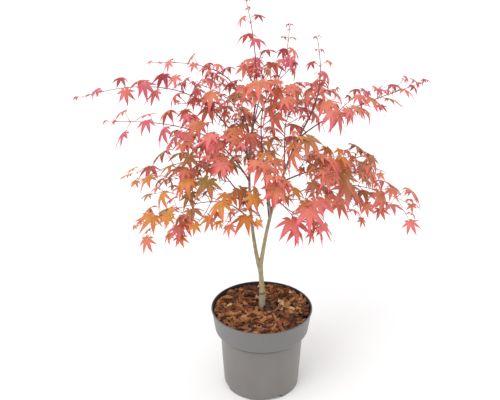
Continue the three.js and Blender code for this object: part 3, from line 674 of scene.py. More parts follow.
# %% Lines of the limbs
UP = np.array([0.0, 0.0, 1.0])
SOIL = 146
GAP = 0.3
FORK = np.array([-4.0, 0, 251])
TRUNK_FOOT_X = 0.8
TRUNK_BELLY_X = 2
TRUNK_RADII = (6, 4.5)
FORK_SPREAD = 2
FORK_SINK = 3
CLEARANCE_PIECES = 8
LIMBS = {
    "left_stem": ("trunk", 1, (16, 162, 530), (-24, 0, 0), (2.9, 1.6)),
    "right_stem": ("trunk", 1, (79, 9, 522), (-24, 0, 10), (3.4, 1.6)),
    "left_high": ("left_stem", 0.72, (76, 176, 528), (0, 0, 8), (1.7, 1.1)),
    "left_upper": ("left_stem", 0.83, (58, 135, 552), (0, 0, 4), (1.4, 1.0)),
    "left_mid": ("left_stem", 0.58, (70, 204, 480), (0, 0, 8), (1.7, 1.1)),
    "left_low": ("left_stem", 0.37, (70, 168, 420), (0, 0, 8), (1.6, 1.1)),
    "left_base": ("left_stem", 0.3, (70, 213, 385), (0, 0, 10), (1.6, 1.0)),
    "left_front": ("left_stem", 0.68, (55, 238, 490), (0, 0, 8), (1.5, 1.0)),
    "front_left": ("left_stem", 0.42, (56, 248, 410), (0, 0, 10), (1.6, 1.0)),
    "back_left": ("left_stem", 0.63, (62, 122, 490), (0, 0, 6), (1.6, 1.0)),
    "back_high": ("left_stem", 0.88, (46, 95, 556), (0, 0, 0), (1.4, 1.0)),
    "top_right": ("left_stem", 0.93, (28, 50, 572), (0, 0, 0), (1.3, 0.9)),
    "centre": ("right_stem", 0.36, (28, 262, 510), (-6, -4, 0), (2.0, 1.2)),
    "front_mid": ("centre", 0.5, (60, 272, 462), (0, 0, 6), (1.4, 1.0)),
    "right_high": ("right_stem", 0.86, (112, 352, 530), (0, 0, 6), (1.5, 1.0)),
    "right_front": ("right_stem", 0.7, (74, 314, 476), (0, 0, 8), (1.5, 1.0)),
    "right_mid": ("right_stem", 0.56, (88, 350, 438), (0, 0, 4), (1.7, 1.1)),
    "right_low": ("right_stem", 0.41, (66, 6, 390), (0, 0, 2), (1.7, 1.1)),
    "front_right": ("right_stem", 0.47, (58, 295, 402), (0, 0, 8), (1.6, 1.0)),
    "back_right": ("right_stem", 0.63, (76, 58, 484), (0, 0, 6), (1.6, 1.0)),
    "back_low": ("right_stem", 0.31, (58, 88, 415), (0, 0, 6), (1.7, 1.0)),
}


def unit(vector):
    return vector / np.linalg.norm(vector)


def heading(along, out, onward, outward, rise):
    """A direction that goes so much onward along a shoot, outward from it and upward."""
    return unit(along * onward + out * outward + UP * rise)


class Line:
    """A curved centre line with a radius that tapers evenly. Shown smooth, it starts at its root."""

    def __init__(self, start, handle, end, radii, steps=1, root=None):
        self.start, self.handle, self.end = start, handle, end
        self.radii, self.steps = radii, steps
        self.shift = 0 if root is None else root - start

    def at(self, t):
        return (1 - t) ** 2 * self.start + 2 * t * (1 - t) * self.handle + t * t * self.end

    def shown(self, t):
        return self.at(t) + self.shift * (1 - t) ** 2

    def direction(self, t):
        return unit((t - 1) * self.start + (1 - 2 * t) * self.handle + t * self.end)

    def radius(self, t):
        return self.radii[0] + (self.radii[1] - self.radii[0]) * t

    def on_pieces(self, t):
        piece = min(int(t * self.steps), self.steps - 1)
        share = t * self.steps - piece
        return self.at(piece / self.steps) * (1 - share) + self.at((piece + 1) / self.steps) * share

    def pieces(self, count):
        """The line as straight pieces: where each starts, where it ends, and its radius."""
        marks = [self.at(i / count) for i in range(count + 1)]
        radii = [self.radius(i / count) for i in range(count)]
        return np.array(marks[:-1]), np.array(marks[1:]), np.array(radii)


def trunk_line():
    foot = np.array([TRUNK_FOOT_X, 0, SOIL + GAP])
    belly = np.array([TRUNK_BELLY_X, 0, (foot[2] + FORK[2]) / 2])
    return Line(foot, belly, FORK, TRUNK_RADII)


def limb_lines():
    lines = {"trunk": trunk_line()}
    for name, (parent, along, tip, bow, radii) in LIMBS.items():
        start = lines[parent].at(along)
        if parent == "trunk":
            start = start + [-FORK_SPREAD if name == "left_stem" else FORK_SPREAD, 0, -FORK_SINK]
        end = around(*tip)
        lines[name] = Line(start, (start + end) / 2 + np.array(bow), end, radii)
    return lines


lines = limb_lines()
print(len(lines), "limb lines, the trunk among them")

# %% [markdown]
# ## Bark
# The trunk flares at the soil, has the swollen ring of a graft, and is smooth and olive; the
# boughs above are thin, with collars where they spring. Separate tubes would meet in hard
# creases. So each limb is a curve with a radius at every point, the curves are made meshes and
# joined, and a voxel remesh turns them into one skin, which a little smoothing then rounds.

# %% Curves for the limbs
TRUNK_STATIONS = (
    (0, 8.3), (2, 7.7), (4, 7.0), (12, 6.1), (36, 5.6), (41, 6.0), (43.5, 6.3), (45, 5.3),
    (46.5, 6.1), (49, 5.2), (54, 4.7), (86, 4.5), (93, 4.9), (98, 5.1), (102, 4.4), (105, 3.0),
)
COLLAR = 0.4
COLLAR_LENGTH = 8
WANDER = 0.05
STEM_FROM = 0.84
STEM_SWELL = {"left_stem": 0.34, "right_stem": 0.14}


def curve_of(name, points, radii):
    curve = bpy.data.curves.new(name, "CURVE")
    curve.dimensions = "3D"
    curve.bevel_depth = MM
    curve.bevel_resolution = 4
    curve.use_fill_caps = True
    spline = curve.splines.new("POLY")
    spline.points.add(len(points) - 1)
    for mark, point, radius in zip(spline.points, points, radii):
        mark.co = (*(np.array(point) * MM), 1)
        mark.radius = radius
    return placed(name, curve)


def trunk_curve():
    height = FORK[2] - SOIL - GAP
    above = np.arange(TRUNK_STATIONS[-1][0] + 1.0)
    radii = np.interp(above, *zip(*TRUNK_STATIONS))
    level = [lines["trunk"].at(min(a / height, 1)) * [1, 1, 0] for a in above]
    return curve_of("trunk_line", [p + UP * (SOIL + GAP + a) for p, a in zip(level, above)], radii)


def limb_curve(name, line):
    """A limb as a curve, thicker at its collar and with slight swellings along it."""
    length = np.linalg.norm(line.end - line.start)
    count = max(8, int(length / 4))
    draw = seeded(sum(map(ord, name)))
    wander = [draw(-WANDER, WANDER) for _ in range(count + 1)]
    shares = [i / count for i in range(count + 1)]
    flare = 0 if name.endswith("stem") else COLLAR
    collar = [1 + flare * math.exp(-((t * length / COLLAR_LENGTH) ** 2)) for t in shares]
    swell = [1 + STEM_SWELL.get(name, 0) * (1 - t) ** 2 for t in shares]
    radii = [line.radius(t) * c * w * (1 + d) for t, c, w, d in zip(shares, collar, swell, wander)]
    points = [line.at(t) for t in shares]
    if name.endswith("stem"):
        deep = lines["trunk"].at(STEM_FROM)
        points = [deep, deep * 0.45 + points[0] * 0.55 - UP * 1.5] + points
        radii = [line.radius(0) * 0.8, line.radius(0)] + radii
    return curve_of(f"{name}_line", points, radii)


curves = [trunk_curve()] + [limb_curve(name, line) for name, line in lines.items() if name != "trunk"]

# %% One skin of bark
VOXEL = 0.62
SMOOTHINGS = 3
FORK_CUT = 249.5


def one_skin(curves):
    deselect_all()
    for curve in curves:
        curve.select_set(True)
    bpy.context.view_layer.objects.active = curves[0]
    bpy.ops.object.convert(target="MESH")
    bpy.ops.object.join()
    skin = bpy.context.object
    remesh = skin.modifiers.new("skin", "REMESH")
    remesh.mode = "VOXEL"
    remesh.voxel_size = VOXEL * MM
    smooth = skin.modifiers.new("smooth", "SMOOTH")
    smooth.iterations = SMOOTHINGS
    smooth.factor = 0.5
    apply_modifiers(skin)
    return skin


skin = one_skin(curves)
print("the skin of bark has", len(skin.data.polygons), "faces")

# %% [markdown]
# The bark is nearly smooth: shallow wrinkles run round and along it. Wrinkles that change the
# outline are moved into the mesh by noise; finer ones stay in the material. Young wood is
# red-brown and old wood olive, so each corner keeps how young its limb is, from the radius of the
# nearest centre line, and the material blends the two by that. Two more values mark the dark ring
# where the maple was grafted, and the stock below it, which is greyer.

# %% Relief and age of the bark
from mathutils import Vector, kdtree, noise

RELIEF = 0.16
GRAIN_SCALE = (0.5, 0.5, 0.16)
RING_SCALE = (0.08, 0.08, 0.7)
GRAFT_WAVE_SCALE = (0.4, 0.4, 0)
OLD_RADIUS = 3.0
YOUNG_RADIUS = 1.5
GRAFT_HEIGHT = 191
GRAFT_WIDTH = 2.2


def line_samples():
    samples = []
    for line in lines.values():
        count = max(6, int(np.linalg.norm(line.end - line.start) / 3))
        samples += [(line.at(i / count), line.radius(i / count)) for i in range(count + 1)]
    tree = kdtree.KDTree(len(samples))
    for i, (point, _) in enumerate(samples):
        tree.insert(Vector(point), i)
    tree.balance()
    return tree, samples


def noise_at(place, scale, offset=0):
    """Noise at a place, stretched by a scale for each axis, from -1 to 1."""
    x, y, z = (p * s for p, s in zip(place, scale))
    return noise.noise(Vector((x, y, z + offset)))


def give_relief(piece):
    """Moves each corner along its normal by noise, and keeps what the wood is like there."""
    tree, samples = line_samples()
    moved, youth, graft, stock = [], [], [], []
    for vertex in piece.data.vertices:
        place = vertex.co / MM
        radius = samples[tree.find(place)[1]][1]
        relief = noise_at(place, GRAIN_SCALE) + 0.8 * noise_at(place, RING_SCALE)
        depth = RELIEF * min(radius / 3, 1.4) * relief
        moved.append(vertex.co + vertex.normal * depth * MM)
        youth.append(min(max((OLD_RADIUS - radius) / (OLD_RADIUS - YOUNG_RADIUS), 0), 1))
        above = place.z + 1.5 * noise_at(place, GRAFT_WAVE_SCALE, 3) - GRAFT_HEIGHT
        graft.append(math.exp(-((above / GRAFT_WIDTH) ** 2)))
        stock.append(float(above < 0))
    piece.data.vertices.foreach_set("co", np.array(moved).ravel())
    for name, values in (("youth", youth), ("graft", graft), ("stock", stock)):
        keep_values(piece, name, values)
    piece.data.update()


give_relief(skin)

# %% Bark finish
OLD_BARK = ((186, 172, 132), (132, 118, 84))
YOUNG_BARK = ((128, 72, 62), (88, 44, 44))
GRAFT_BARK = (88, 68, 54)
STOCK_BARK = (168, 158, 136)


def bark_material():
    """Olive bark that turns red-brown where the wood is young, with a bump of fine wrinkles."""
    material = varied(
        "maple bark", *OLD_BARK,
        scale=260, stretch=0.35, contrast=0.6, roughness=0.62, bump=0.45, depth=0.25,
    )
    young = soft_colours(material, *YOUNG_BARK, scale=320, stretch=0.5, contrast=0.6)
    mixed_over(material, corner_value(material, "youth"), young["Color"])
    tinted(material, "stock", STOCK_BARK, 0.6)
    tinted(material, "graft", GRAFT_BARK, 1.0)
    return material


def part_of(skin, name, keep):
    """A copy of the skin with only the faces whose middle passes a test."""
    piece = placed(name, skin.data.copy())
    make_active(piece)
    bpy.ops.object.mode_set(mode="EDIT")
    bpy.ops.mesh.select_all(action="DESELECT")
    bpy.ops.mesh.select_mode(type="FACE")
    bpy.ops.object.mode_set(mode="OBJECT")
    for face in piece.data.polygons:
        face.select = not keep(face.center)
    bpy.ops.object.mode_set(mode="EDIT")
    bpy.ops.mesh.delete(type="FACE")
    bpy.ops.object.mode_set(mode="OBJECT")
    bpy.ops.object.shade_smooth()
    return piece


skin.data.materials.clear()
skin.data.materials.append(bark_material())
trunk = part_of(skin, "trunk_bark", lambda middle: middle.z < FORK_CUT * MM)
limbs = part_of(skin, "limb_bark", lambda middle: middle.z >= FORK_CUT * MM)
bpy.data.objects.remove(skin)
belongs(trunk, "trunk_bark", "trunk")
limb_nodes = [name if name.endswith("stem") else f"bough_{name}" for name in LIMBS]
belongs(limbs, "young_bark", *limb_nodes)

# %% [markdown]
# ## How the foliage grows
# From the tip of each limb a main shoot grows on. Opposite pairs sit along it, each pair turned
# from the one before; the lower pairs are twigs, the others leaves. A leaf tries several ways to
# hang, and is left out where it would leave its mass's space or pass through wood or another
# leaf. The solids were grown by this rule with these draws, so the leaves here fall on theirs.

# %% Masses of foliage
# The tip of the main shoot, its pairs, the span of a leaf, how many pairs are twigs, how long
# those are, and how much smaller the leaves get along the shoot
MASSES = {
    "leader": ((27, 180, 709), 5, 66, 2, 46, 0.76),
    "right_top": ((92, 16, 649), 6, 62, 1, 50, 1.0),
    "left_high": ((300, 181, 561), 7, 60, 2, 45, 0.65),
    "left_upper": ((190, 166, 608), 5, 60, 1, 55, 0.75),
    "left_mid": ((252, 193, 533), 6, 66, 2, 56, 0.6),
    "left_low": ((222, 178, 405), 5, 68, 2, 66, 0.3),
    "left_base": ((225, 205, 370), 5, 66, 3, 72, 0.22),
    "left_front": ((160, 236, 500), 4, 66, 2, 60, 0.42),
    "front_left": ((170, 250, 400), 4, 70, 2, 62, 0.25),
    "back_left": ((222, 126, 545), 5, 66, 2, 66, 0.4),
    "back_high": ((130, 94, 600), 4, 62, 1, 50, 0.4),
    "top_right": ((56, 40, 668), 4, 58, 1, 50, 0.9),
    "centre": ((58, 282, 592), 5, 68, 3, 56, 0.2),
    "front_mid": ((165, 274, 478), 4, 67, 2, 58, 0.33),
    "right_high": ((256, 354, 590), 6, 58, 1, 45, 0.62),
    "right_front": ((160, 304, 478), 4, 67, 2, 60, 0.4),
    "right_mid": ((195, 350, 436), 5, 68, 3, 66, 0.35),
    "right_low": ((265, 0, 366), 6, 67, 3, 72, 0.25),
    "front_right": ((175, 300, 392), 4, 70, 2, 62, 0.3),
    "back_right": ((225, 50, 535), 5, 66, 2, 66, 0.4),
    "back_low": ((215, 88, 425), 5, 66, 2, 66, 0.4),
}
ON_STEMS = {"leader": "left_stem", "right_top": "right_stem"}
HANDLE_SHARE = 0.45
SHOOT_TIP_RADIUS = 0.7
MAIN_PIECES = 4


class Mass:
    """One mass of foliage, on the limb of its name or on a stem: its shoots and leaves so far."""

    def __init__(self, number, name, tip, pairs, span, twigs, twig, fall):
        self.number, self.name = number, name
        self.pairs, self.span, self.twigs, self.twig, self.fall = pairs, span, twigs, twig, fall
        limb = lines[ON_STEMS.get(name, name)]
        onward = limb.direction(1)
        start = limb.at(1) + GAP * onward
        end = around(*tip)
        handle = start + onward * HANDLE_SHARE * np.linalg.norm(end - start)
        self.main = Line(start, handle, end, (limb.radius(1), SHOOT_TIP_RADIUS), MAIN_PIECES)
        self.pieces = self.main.pieces(CLEARANCE_PIECES)
        self.shoots, self.leaves = [], []


masses = [Mass(number, name, *sizes) for number, (name, sizes) in enumerate(MASSES.items())]

# %% Room for a leaf
SPACE_REACH = 150
SPACE_GAP = 4
LIMB_CLEARANCE = 1.6

pieces_by_limb = [line.pieces(CLEARANCE_PIECES) for line in lines.values()]
limb_pieces = [np.concatenate(part) for part in zip(*pieces_by_limb)]
limb_edges = np.stack(limb_pieces[:2], axis=1)


def distances(points, starts, ends):
    """The least distance from each point to each straight piece."""
    way = ends - starts
    from_start = points[:, None, :] - starts[None]
    share = np.einsum("ijk,jk->ij", from_start, way) / np.einsum("jk,jk->j", way, way)
    gap = from_start - np.clip(share, 0, 1)[..., None] * way[None]
    return np.sqrt(np.einsum("ijk,ijk->ij", gap, gap))


def any_crossing(edges, faces):
    """Whether any straight edge passes through any triangle."""
    way = (edges[:, 1] - edges[:, 0])[:, None]
    first = (faces[:, 1] - faces[:, 0])[None]
    second = (faces[:, 2] - faces[:, 0])[None]
    across = np.cross(way, second)
    det = (first * across).sum(-1)
    flat = np.abs(det) < 1e-9
    det = np.where(flat, 1, det)
    start = edges[:, 0][:, None] - faces[:, 0][None]
    u = (start * across).sum(-1) / det
    over = np.cross(start, first)
    v = (way * over).sum(-1) / det
    t = (second * over).sum(-1) / det
    return bool((~flat & (u >= 0) & (v >= 0) & (u + v <= 1) & (t >= 0) & (t <= 1)).any())


def keeps_to_space(mass, points):
    """Nearer to the mass's own main shoot than to any other, and not too far from it."""
    own = distances(points, *mass.pieces[:2]).min(axis=1)
    others = [other.pieces for other in masses if other is not mass]
    starts = np.concatenate([piece[0] for piece in others])
    ends = np.concatenate([piece[1] for piece in others])
    nearest = distances(points, starts, ends).min(axis=1)
    return bool((own < SPACE_REACH).all() and (own + SPACE_GAP < nearest).all())


def clear_of_limbs(points, radius):
    room = limb_pieces[2] + radius + LIMB_CLEARANCE
    return bool((distances(points, limb_pieces[0], limb_pieces[1]) > room).all())


# %% The plain leaf of the rule
GROWN_LOBES = ((-84, 0.68), (-40, 0.92), (0, 1), (40, 0.92), (84, 0.68))
YOUNG_LOBES = ((-58, 0.8), (0, 1), (58, 0.8))
GROWN_SPAN = 42
LENGTH_OF_SPAN = 0.7
HEEL_BEARING = 120
NOTCH_DEPTH = 0.42
STALK_BLADE = 0.7


def plain_rim(leaf):
    """The corners of the solid leaf: lobe tips and notches in turn, with a heel at either end."""
    length = leaf["span"] * LENGTH_OF_SPAN
    lobes = YOUNG_LOBES if leaf["span"] < GROWN_SPAN else GROWN_LOBES
    corners = [(-HEEL_BEARING, STALK_BLADE / length, 0)]
    for i, (bearing, reach) in enumerate(lobes):
        if i:
            before, reach_before = lobes[i - 1]
            corners.append(((bearing + before) / 2, NOTCH_DEPTH * (reach + reach_before) / 2, 0.5))
        corners.append((bearing, reach, 1))
    corners.append((HEEL_BEARING, STALK_BLADE / length, 0))
    bearing, reach, droop = np.array(corners).T
    turn, bend = np.radians(bearing), leaf["curl"] * droop
    level = reach * length * np.cos(bend)
    side = np.cross(leaf["normal"], leaf["forward"])
    flat = leaf["centre"] + np.outer(level * np.cos(turn), leaf["forward"])
    flat = flat + np.outer(level * np.sin(turn), side)
    return flat - np.outer(reach * length * np.sin(bend), leaf["normal"])


def add_fan(leaf):
    """Keeps the leaf's rim, and its blade as triangles and its ribs, rim and stalk as edges."""
    rim = plain_rim(leaf)
    after = np.roll(rim, -1, axis=0)
    middle = np.broadcast_to(leaf["centre"], rim.shape)
    stalk = np.array([[leaf["foot"], leaf["centre"]]])
    spokes = np.stack([np.stack([middle, rim], 1), np.stack([rim, after], 1)], 1).reshape(-1, 2, 3)
    leaf["rim"] = rim
    leaf["faces"] = np.stack([middle, rim, after], axis=1)
    leaf["edges"] = np.concatenate([stalk, spokes])


def edges_of(shoot):
    return np.stack(shoot.pieces(shoot.steps)[:2], axis=1)


def has_room(leaf, mass):
    """Whether a leaf keeps to its mass's space and passes through no wood and no other leaf."""
    starts, ends = leaf["edges"][:, 0], leaf["edges"][:, 1]
    thirds = np.stack([starts + share * (ends - starts) for share in (0.33, 0.67)], 1).reshape(-1, 3)
    blade = np.concatenate([leaf["centre"][None], leaf["rim"]])
    if not keeps_to_space(mass, np.concatenate([blade, thirds[:2]])):
        return False
    if not clear_of_limbs(np.concatenate([blade, thirds]), 0):
        return False
    wood = [limb_edges] + [edges_of(shoot) for shoot in mass.shoots]
    if any_crossing(np.concatenate(wood), leaf["faces"]):
        return False
    if not mass.leaves:
        return True
    other_faces = np.concatenate([other["faces"] for other in mass.leaves])
    other_edges = np.concatenate([other["edges"] for other in mass.leaves])
    return not any_crossing(leaf["edges"], other_faces) and not any_crossing(other_edges, leaf["faces"])


# %% Leaves in pairs on shoots and twigs
FIRST_ON_MAIN = 0.55
FIRST_ON_TWIG = 0.1
ROOM_AT_TIP = 0.3
PAIR_TURN = 55
PAIR_STAGGER = 0.004
TIP_PAIR_AT = 0.94
SMALLEST_LEAF = 9
STALK_SLANT = 0.38
OUTWARD_PULL = 0.45
DROOP_STEP = 7
MOST_DROOP = 70

# Each try: how far the leaf turns, its share of the size, and how much its stalk is lifted
TRIES = (
    (0, 1, 0), (30, 1, 0), (-30, 1, 0), (60, 0.94, 0.3), (-60, 0.94, 0.3), (15, 0.8, 0.6),
    (95, 0.85, 0.3), (-95, 0.85, 0.3), (0, 0.66, 0.6), (45, 0.66, 0), (-45, 0.66, 0), (0, 0.5, 0.8),
)
HABIT_SPANS = {
    "swing": (0.2, 0.6), "lift": (0.25, 0.6), "stalk": (0.4, 0.56), "droop": (8, 46),
    "turn": (-25, 25), "roll": (-22, 22), "curl": (20, 44),
}


def turned_about_z(vector, angle):
    cos, sin = math.cos(angle), math.sin(angle)
    return np.array([vector[0] * cos - vector[1] * sin, vector[0] * sin + vector[1] * cos, vector[2]])


def leaf_at(spot, habit, number):
    """The leaf at one of its tries: its stalk leaves the shoot, and its blade heads out and droops."""
    turn, size, lift = TRIES[number]
    span = spot["span"] * size
    stalk = heading(spot["along"], spot["out"], habit["swing"], 0.9, habit["lift"] + lift)
    stalk = turned_about_z(stalk, math.radians(turn / 2))
    centre = spot["place"] + stalk * span * habit["stalk"]
    stalk_bearing = math.atan2(stalk[1], stalk[0])
    outward = math.atan2(centre[1] - FORK[1], centre[0] - FORK[0])
    swerve = (outward - stalk_bearing + math.pi) % (2 * math.pi) - math.pi
    bearing = stalk_bearing + OUTWARD_PULL * swerve + math.radians(habit["turn"] + turn)
    droop = math.radians((habit["droop"] + DROOP_STEP * number) % MOST_DROOP)
    level = np.array([math.cos(bearing), math.sin(bearing), 0])
    forward = unit(level * math.cos(droop) - UP * math.sin(droop))
    right = unit(np.cross(forward, UP))
    face = unit(np.cross(right, forward))
    roll = math.radians(habit["roll"])
    normal = face * math.cos(roll) + right * math.sin(roll)
    leaf = {"foot": spot["place"], "centre": centre, "forward": forward, "normal": normal, "span": span}
    leaf.update(curl=math.radians(habit["curl"]), slant=stalk @ unit(normal + forward))
    add_fan(leaf)
    return leaf


def add_leaf(spot, draw, mass, smallest=0.0):
    """Adds the first try that has room, of those that keep at least a smallest share of the size."""
    habit = {name: draw(*span) for name, span in HABIT_SPANS.items()}
    for number in range(len(TRIES)):
        if TRIES[number][1] < smallest:
            continue
        leaf = leaf_at(spot, habit, number)
        if leaf["slant"] > STALK_SLANT and has_room(leaf, mass):
            leaf.update(youth=spot["youth"], root=spot["root"])
            mass.leaves.append(leaf)
            return


def side_of(along):
    side = np.cross(along, UP)
    return unit(side) if np.linalg.norm(side) >= 0.25 else np.array([1.0, 0, 0])


def tip_out(along, sign, onward, rise):
    """The way out for one leaf of a pair at the tip of a shoot."""
    return heading(along, side_of(along) * sign, onward, 1, rise)


def pair_direction(along, sign, pair, draw):
    """The way out for one of a pair along a shoot, every other pair turned out of the level."""
    side = side_of(along)
    over = unit(np.cross(side, along))
    turn = math.radians(draw(-15, 15) + (PAIR_TURN if pair % 2 == 0 else 0))
    return unit(side * sign * math.cos(turn) + over * sign * math.sin(turn))


def twig_from(spot, mass, t, draw):
    """A twig from the main shoot, or None where it has no room."""
    length = mass.twig * draw(0.75, 1.1) * (1.1 - 0.4 * t)
    place, along, out = spot["place"], spot["along"], spot["out"]
    handle = place + heading(along, out, 0.5, 1, 0.25) * length / 2
    tip = place + heading(along, out, 0.75, 0.85, 0.1) * length
    radii = (0.75 * mass.main.radius(t), 0.9 * SHOOT_TIP_RADIUS)
    twig = Line(place, handle, tip, radii, 2, spot["root"])
    points = np.array([twig.at(share) for share in (0.4, 0.6, 0.8, 1)])
    if not (keeps_to_space(mass, points) and clear_of_limbs(points, 0.5)):
        return None
    blades = [leaf["faces"] for leaf in mass.leaves]
    return None if blades and any_crossing(edges_of(twig), np.concatenate(blades)) else twig


def pair_at(pair, pairs, is_main):
    """Where along a shoot a pair sits, the first one numbered 1."""
    return (pair - (FIRST_ON_MAIN if is_main else FIRST_ON_TWIG)) / (pairs + ROOM_AT_TIP)


def grow_shoot(shoot, is_main, pairs, span, shoot_number, mass):
    """Opposite pairs of twigs or leaves along a shoot, and a young pair at its tip."""
    mass.shoots.append(shoot)
    for pair in range(1, pairs + 1):
        t = pair_at(pair, pairs, is_main)
        for sign in (1, -1):
            along = shoot.direction(t)
            draw = seeded(((mass.number * 20 + shoot_number) * 20 + pair) * 2 + (sign > 0))
            out = pair_direction(along, sign, pair, draw)
            ageing = 1.06 - mass.fall * t ** 1.5 if is_main else 1 - 0.3 * t
            at = t + sign * PAIR_STAGGER
            spot = {"place": shoot.on_pieces(at), "root": shoot.shown(at), "along": along, "out": out}
            spot.update(span=span * ageing * draw(0.88, 1.1), youth=t if is_main else 0.4)
            twig = twig_from(spot, mass, t, draw) if is_main and pair <= mass.twigs else None
            if twig:
                grow_shoot(twig, False, 1, spot["span"], 2 * pair + (sign > 0), mass)
            else:
                add_leaf(spot, draw, mass)
    add_tip_pair(shoot, is_main, span, shoot_number, mass)


def add_tip_pair(shoot, is_main, span, shoot_number, mass):
    draw = seeded((mass.number * 20 + shoot_number) * 40)
    along = shoot.direction(1)
    for sign in (1, -1):
        share = (1.06 - mass.fall) * draw(0.4, 0.6) if is_main else draw(0.5, 0.75)
        t = TIP_PAIR_AT + sign * PAIR_STAGGER
        spot = {"place": shoot.on_pieces(t), "root": shoot.shown(t), "along": along}
        spot.update(out=tip_out(along, sign, 0.8, 0.2), youth=1 if is_main else 0.7)
        spot["span"] = max(span * share, SMALLEST_LEAF)
        add_leaf(spot, draw, mass)


def print_growth(when):
    leaf_count = sum(len(mass.leaves) for mass in masses)
    shoot_count = sum(len(mass.shoots) for mass in masses)
    print(leaf_count, "leaves on", shoot_count, "shoots", when)


for mass in masses:
    grow_shoot(mass.main, True, mass.pairs, mass.span, 0, mass)
print_growth("by the rule of the solids")

# %% [markdown]
# The solids stop there. The real shoots also bear short side twigs with small young leaves in the
# angles between leaf and shoot, and a youngest pair right at the tip. On the low boughs those
# twigs droop and their leaves are larger, and the limbs inside the crown bear spurs with large
# old leaves. All are grown on by the same rule, with the same tests for room, so they stay within
# the reach of their mass.

# %% Finer twigs, spurs and youngest leaves
FINE_SEED = 5000
YOUNGEST_SEED = 7000
SPUR_SEED = 9000
FINE_RADII = (0.6, 0.42)
FINE_PLACES = (0.5, 0.86)
FINE_INSIDE = 0.4
FINE_OUTSIDE = 0.15
FINE_SHARES = {
    "leader": 0.3, "left_high": 0.3, "right_top": 0.3, "right_high": 0.3,
    "left_upper": 0, "back_high": 0, "top_right": 0, "front_right": 0,
    "left_mid": 0.4, "right_mid": 0.5, "left_base": 2, "left_low": 1.8, "right_low": 2.8,
}
YOUNGEST_SPAN = (11, 16)
SPUR_PLACES = (0.25, 0.97)
SPUR_STEP = 11
SPUR_HEIGHTS = (400, 535)
CROWN_MIDDLE = np.array([-10.0, 0, 500])
INSIDE = 80
OUTSIDE = 200

# How one kind of fine twig grows: its length and rise, and the size and youth of its leaves
Habit = namedtuple("Habit", "length rise span taper smallest youth")

young_twig = Habit((10, 26), (0, 0.5), (20, 44), 0.35, 0, 0.85)
low_twig = Habit((16, 34), (-0.9, 0), (54, 78), 0.65, 0.7, 0.5)
inner_spur = Habit((10, 26), (0, 0.5), (62, 84), 0.35, 0.8, 0.3)
habits = {name: low_twig for name in ("left_base", "left_low", "right_low")}


def fine_twig(limb, t, sign, number, mass, draw, habit):
    """A short twig from a shoot or limb, kept if at least one leaf of the pair at its tip has room."""
    along = limb.direction(t)
    out = pair_direction(along, sign, number, draw)
    root = limb.shown(t)
    length = draw(*habit.length)
    tip = root + length * heading(along, out, 0.7, 0.8, draw(*habit.rise))
    handle = root + 0.5 * length * heading(along, out, 0.3, 1, 0.3)
    twig = Line(root, handle, tip, FINE_RADII)
    if not (keeps_to_space(mass, tip[None]) and clear_of_limbs(tip[None], 0.4)):
        return
    before = len(mass.leaves)
    for side in (1, -1):
        way = twig.direction(1)
        spot = {"place": tip, "root": tip, "along": way, "out": tip_out(way, side, 0.7, 0.2)}
        spot["youth"] = habit.youth * (0.6 + 0.8 * t)
        spot["span"] = draw(*habit.span) * (1.1 - habit.taper * t)
        add_leaf(spot, draw, mass, habit.smallest)
    if len(mass.leaves) > before:
        mass.shoots.append(twig)


def fine_share(place, mass):
    """How many of the places for a twig bear one: more inside the crown and on the low boughs."""
    from_middle = np.linalg.norm((place - CROWN_MIDDLE) * [1, 1, 1.15])
    share = min(max((from_middle - INSIDE) / (OUTSIDE - INSIDE), 0), 1)
    return (FINE_INSIDE + (FINE_OUTSIDE - FINE_INSIDE) * share) * FINE_SHARES.get(mass.name, 1)


def pairs_along(pairs):
    """Where all the pairs of a main shoot sit."""
    return [pair_at(pair + 1, pairs, True) for pair in range(pairs)]


def grow_finer(mass):
    """Twigs at the pairs of the main shoot, and at two places on each of its twigs."""
    for shoot_number, shoot in enumerate(list(mass.shoots)):
        is_main = shoot is mass.main
        draw = seeded(FINE_SEED + mass.number * 40 + shoot_number)
        for number, t in enumerate(pairs_along(mass.pairs) if is_main else FINE_PLACES):
            for sign in (1, -1):
                if draw(0, 1) < fine_share(shoot.at(t), mass):
                    fine_twig(shoot, t, sign, number, mass, draw, habits.get(mass.name, young_twig))


def grow_youngest(mass):
    """A last small pair of leaves right at the tip of the main shoot."""
    draw = seeded(YOUNGEST_SEED + mass.number)
    along = mass.main.direction(1)
    tip = mass.main.shown(1)
    for sign in (1, -1):
        spot = {"place": tip, "root": tip, "along": along, "youth": 1.1, "span": draw(*YOUNGEST_SPAN)}
        spot["out"] = tip_out(along, sign, 0.9, 0.3)
        add_leaf(spot, draw, mass)


def grow_spurs():
    """Short side twigs on the limbs inside the crown, each in the mass whose shoot is nearest."""
    draw = seeded(SPUR_SEED)
    for line in list(lines.values())[1:]:
        step = SPUR_STEP / np.linalg.norm(line.end - line.start)
        for number, t in enumerate(np.arange(*SPUR_PLACES, step)):
            place = line.at(t)
            if SPUR_HEIGHTS[0] < place[2] < SPUR_HEIGHTS[1]:
                nearest = min(masses, key=lambda mass: distances(place[None], *mass.pieces[:2]).min())
                for sign in (1, -1):
                    fine_twig(line, t, sign, number, nearest, draw, inner_spur)


grow_spurs()
for mass in masses:
    grow_youngest(mass)
    grow_finer(mass)
leaves = [(mass, leaf) for mass in masses for leaf in mass.leaves]
print_growth("with the finer twigs")

# %% [markdown]
# ## A maple leaf
# The blade is palmate: five long lobes with drawn-out tips, two small ones at the stalk, a toothed
# edge, and a fold along each lobe's midrib. A picture on a plane would be quick, but from near by
# and against the sky its outline must be true. So each lobe is a strip of faces on either side of
# its midrib, from the middle of the leaf to the tip. Neighbours share their seam to the notch.

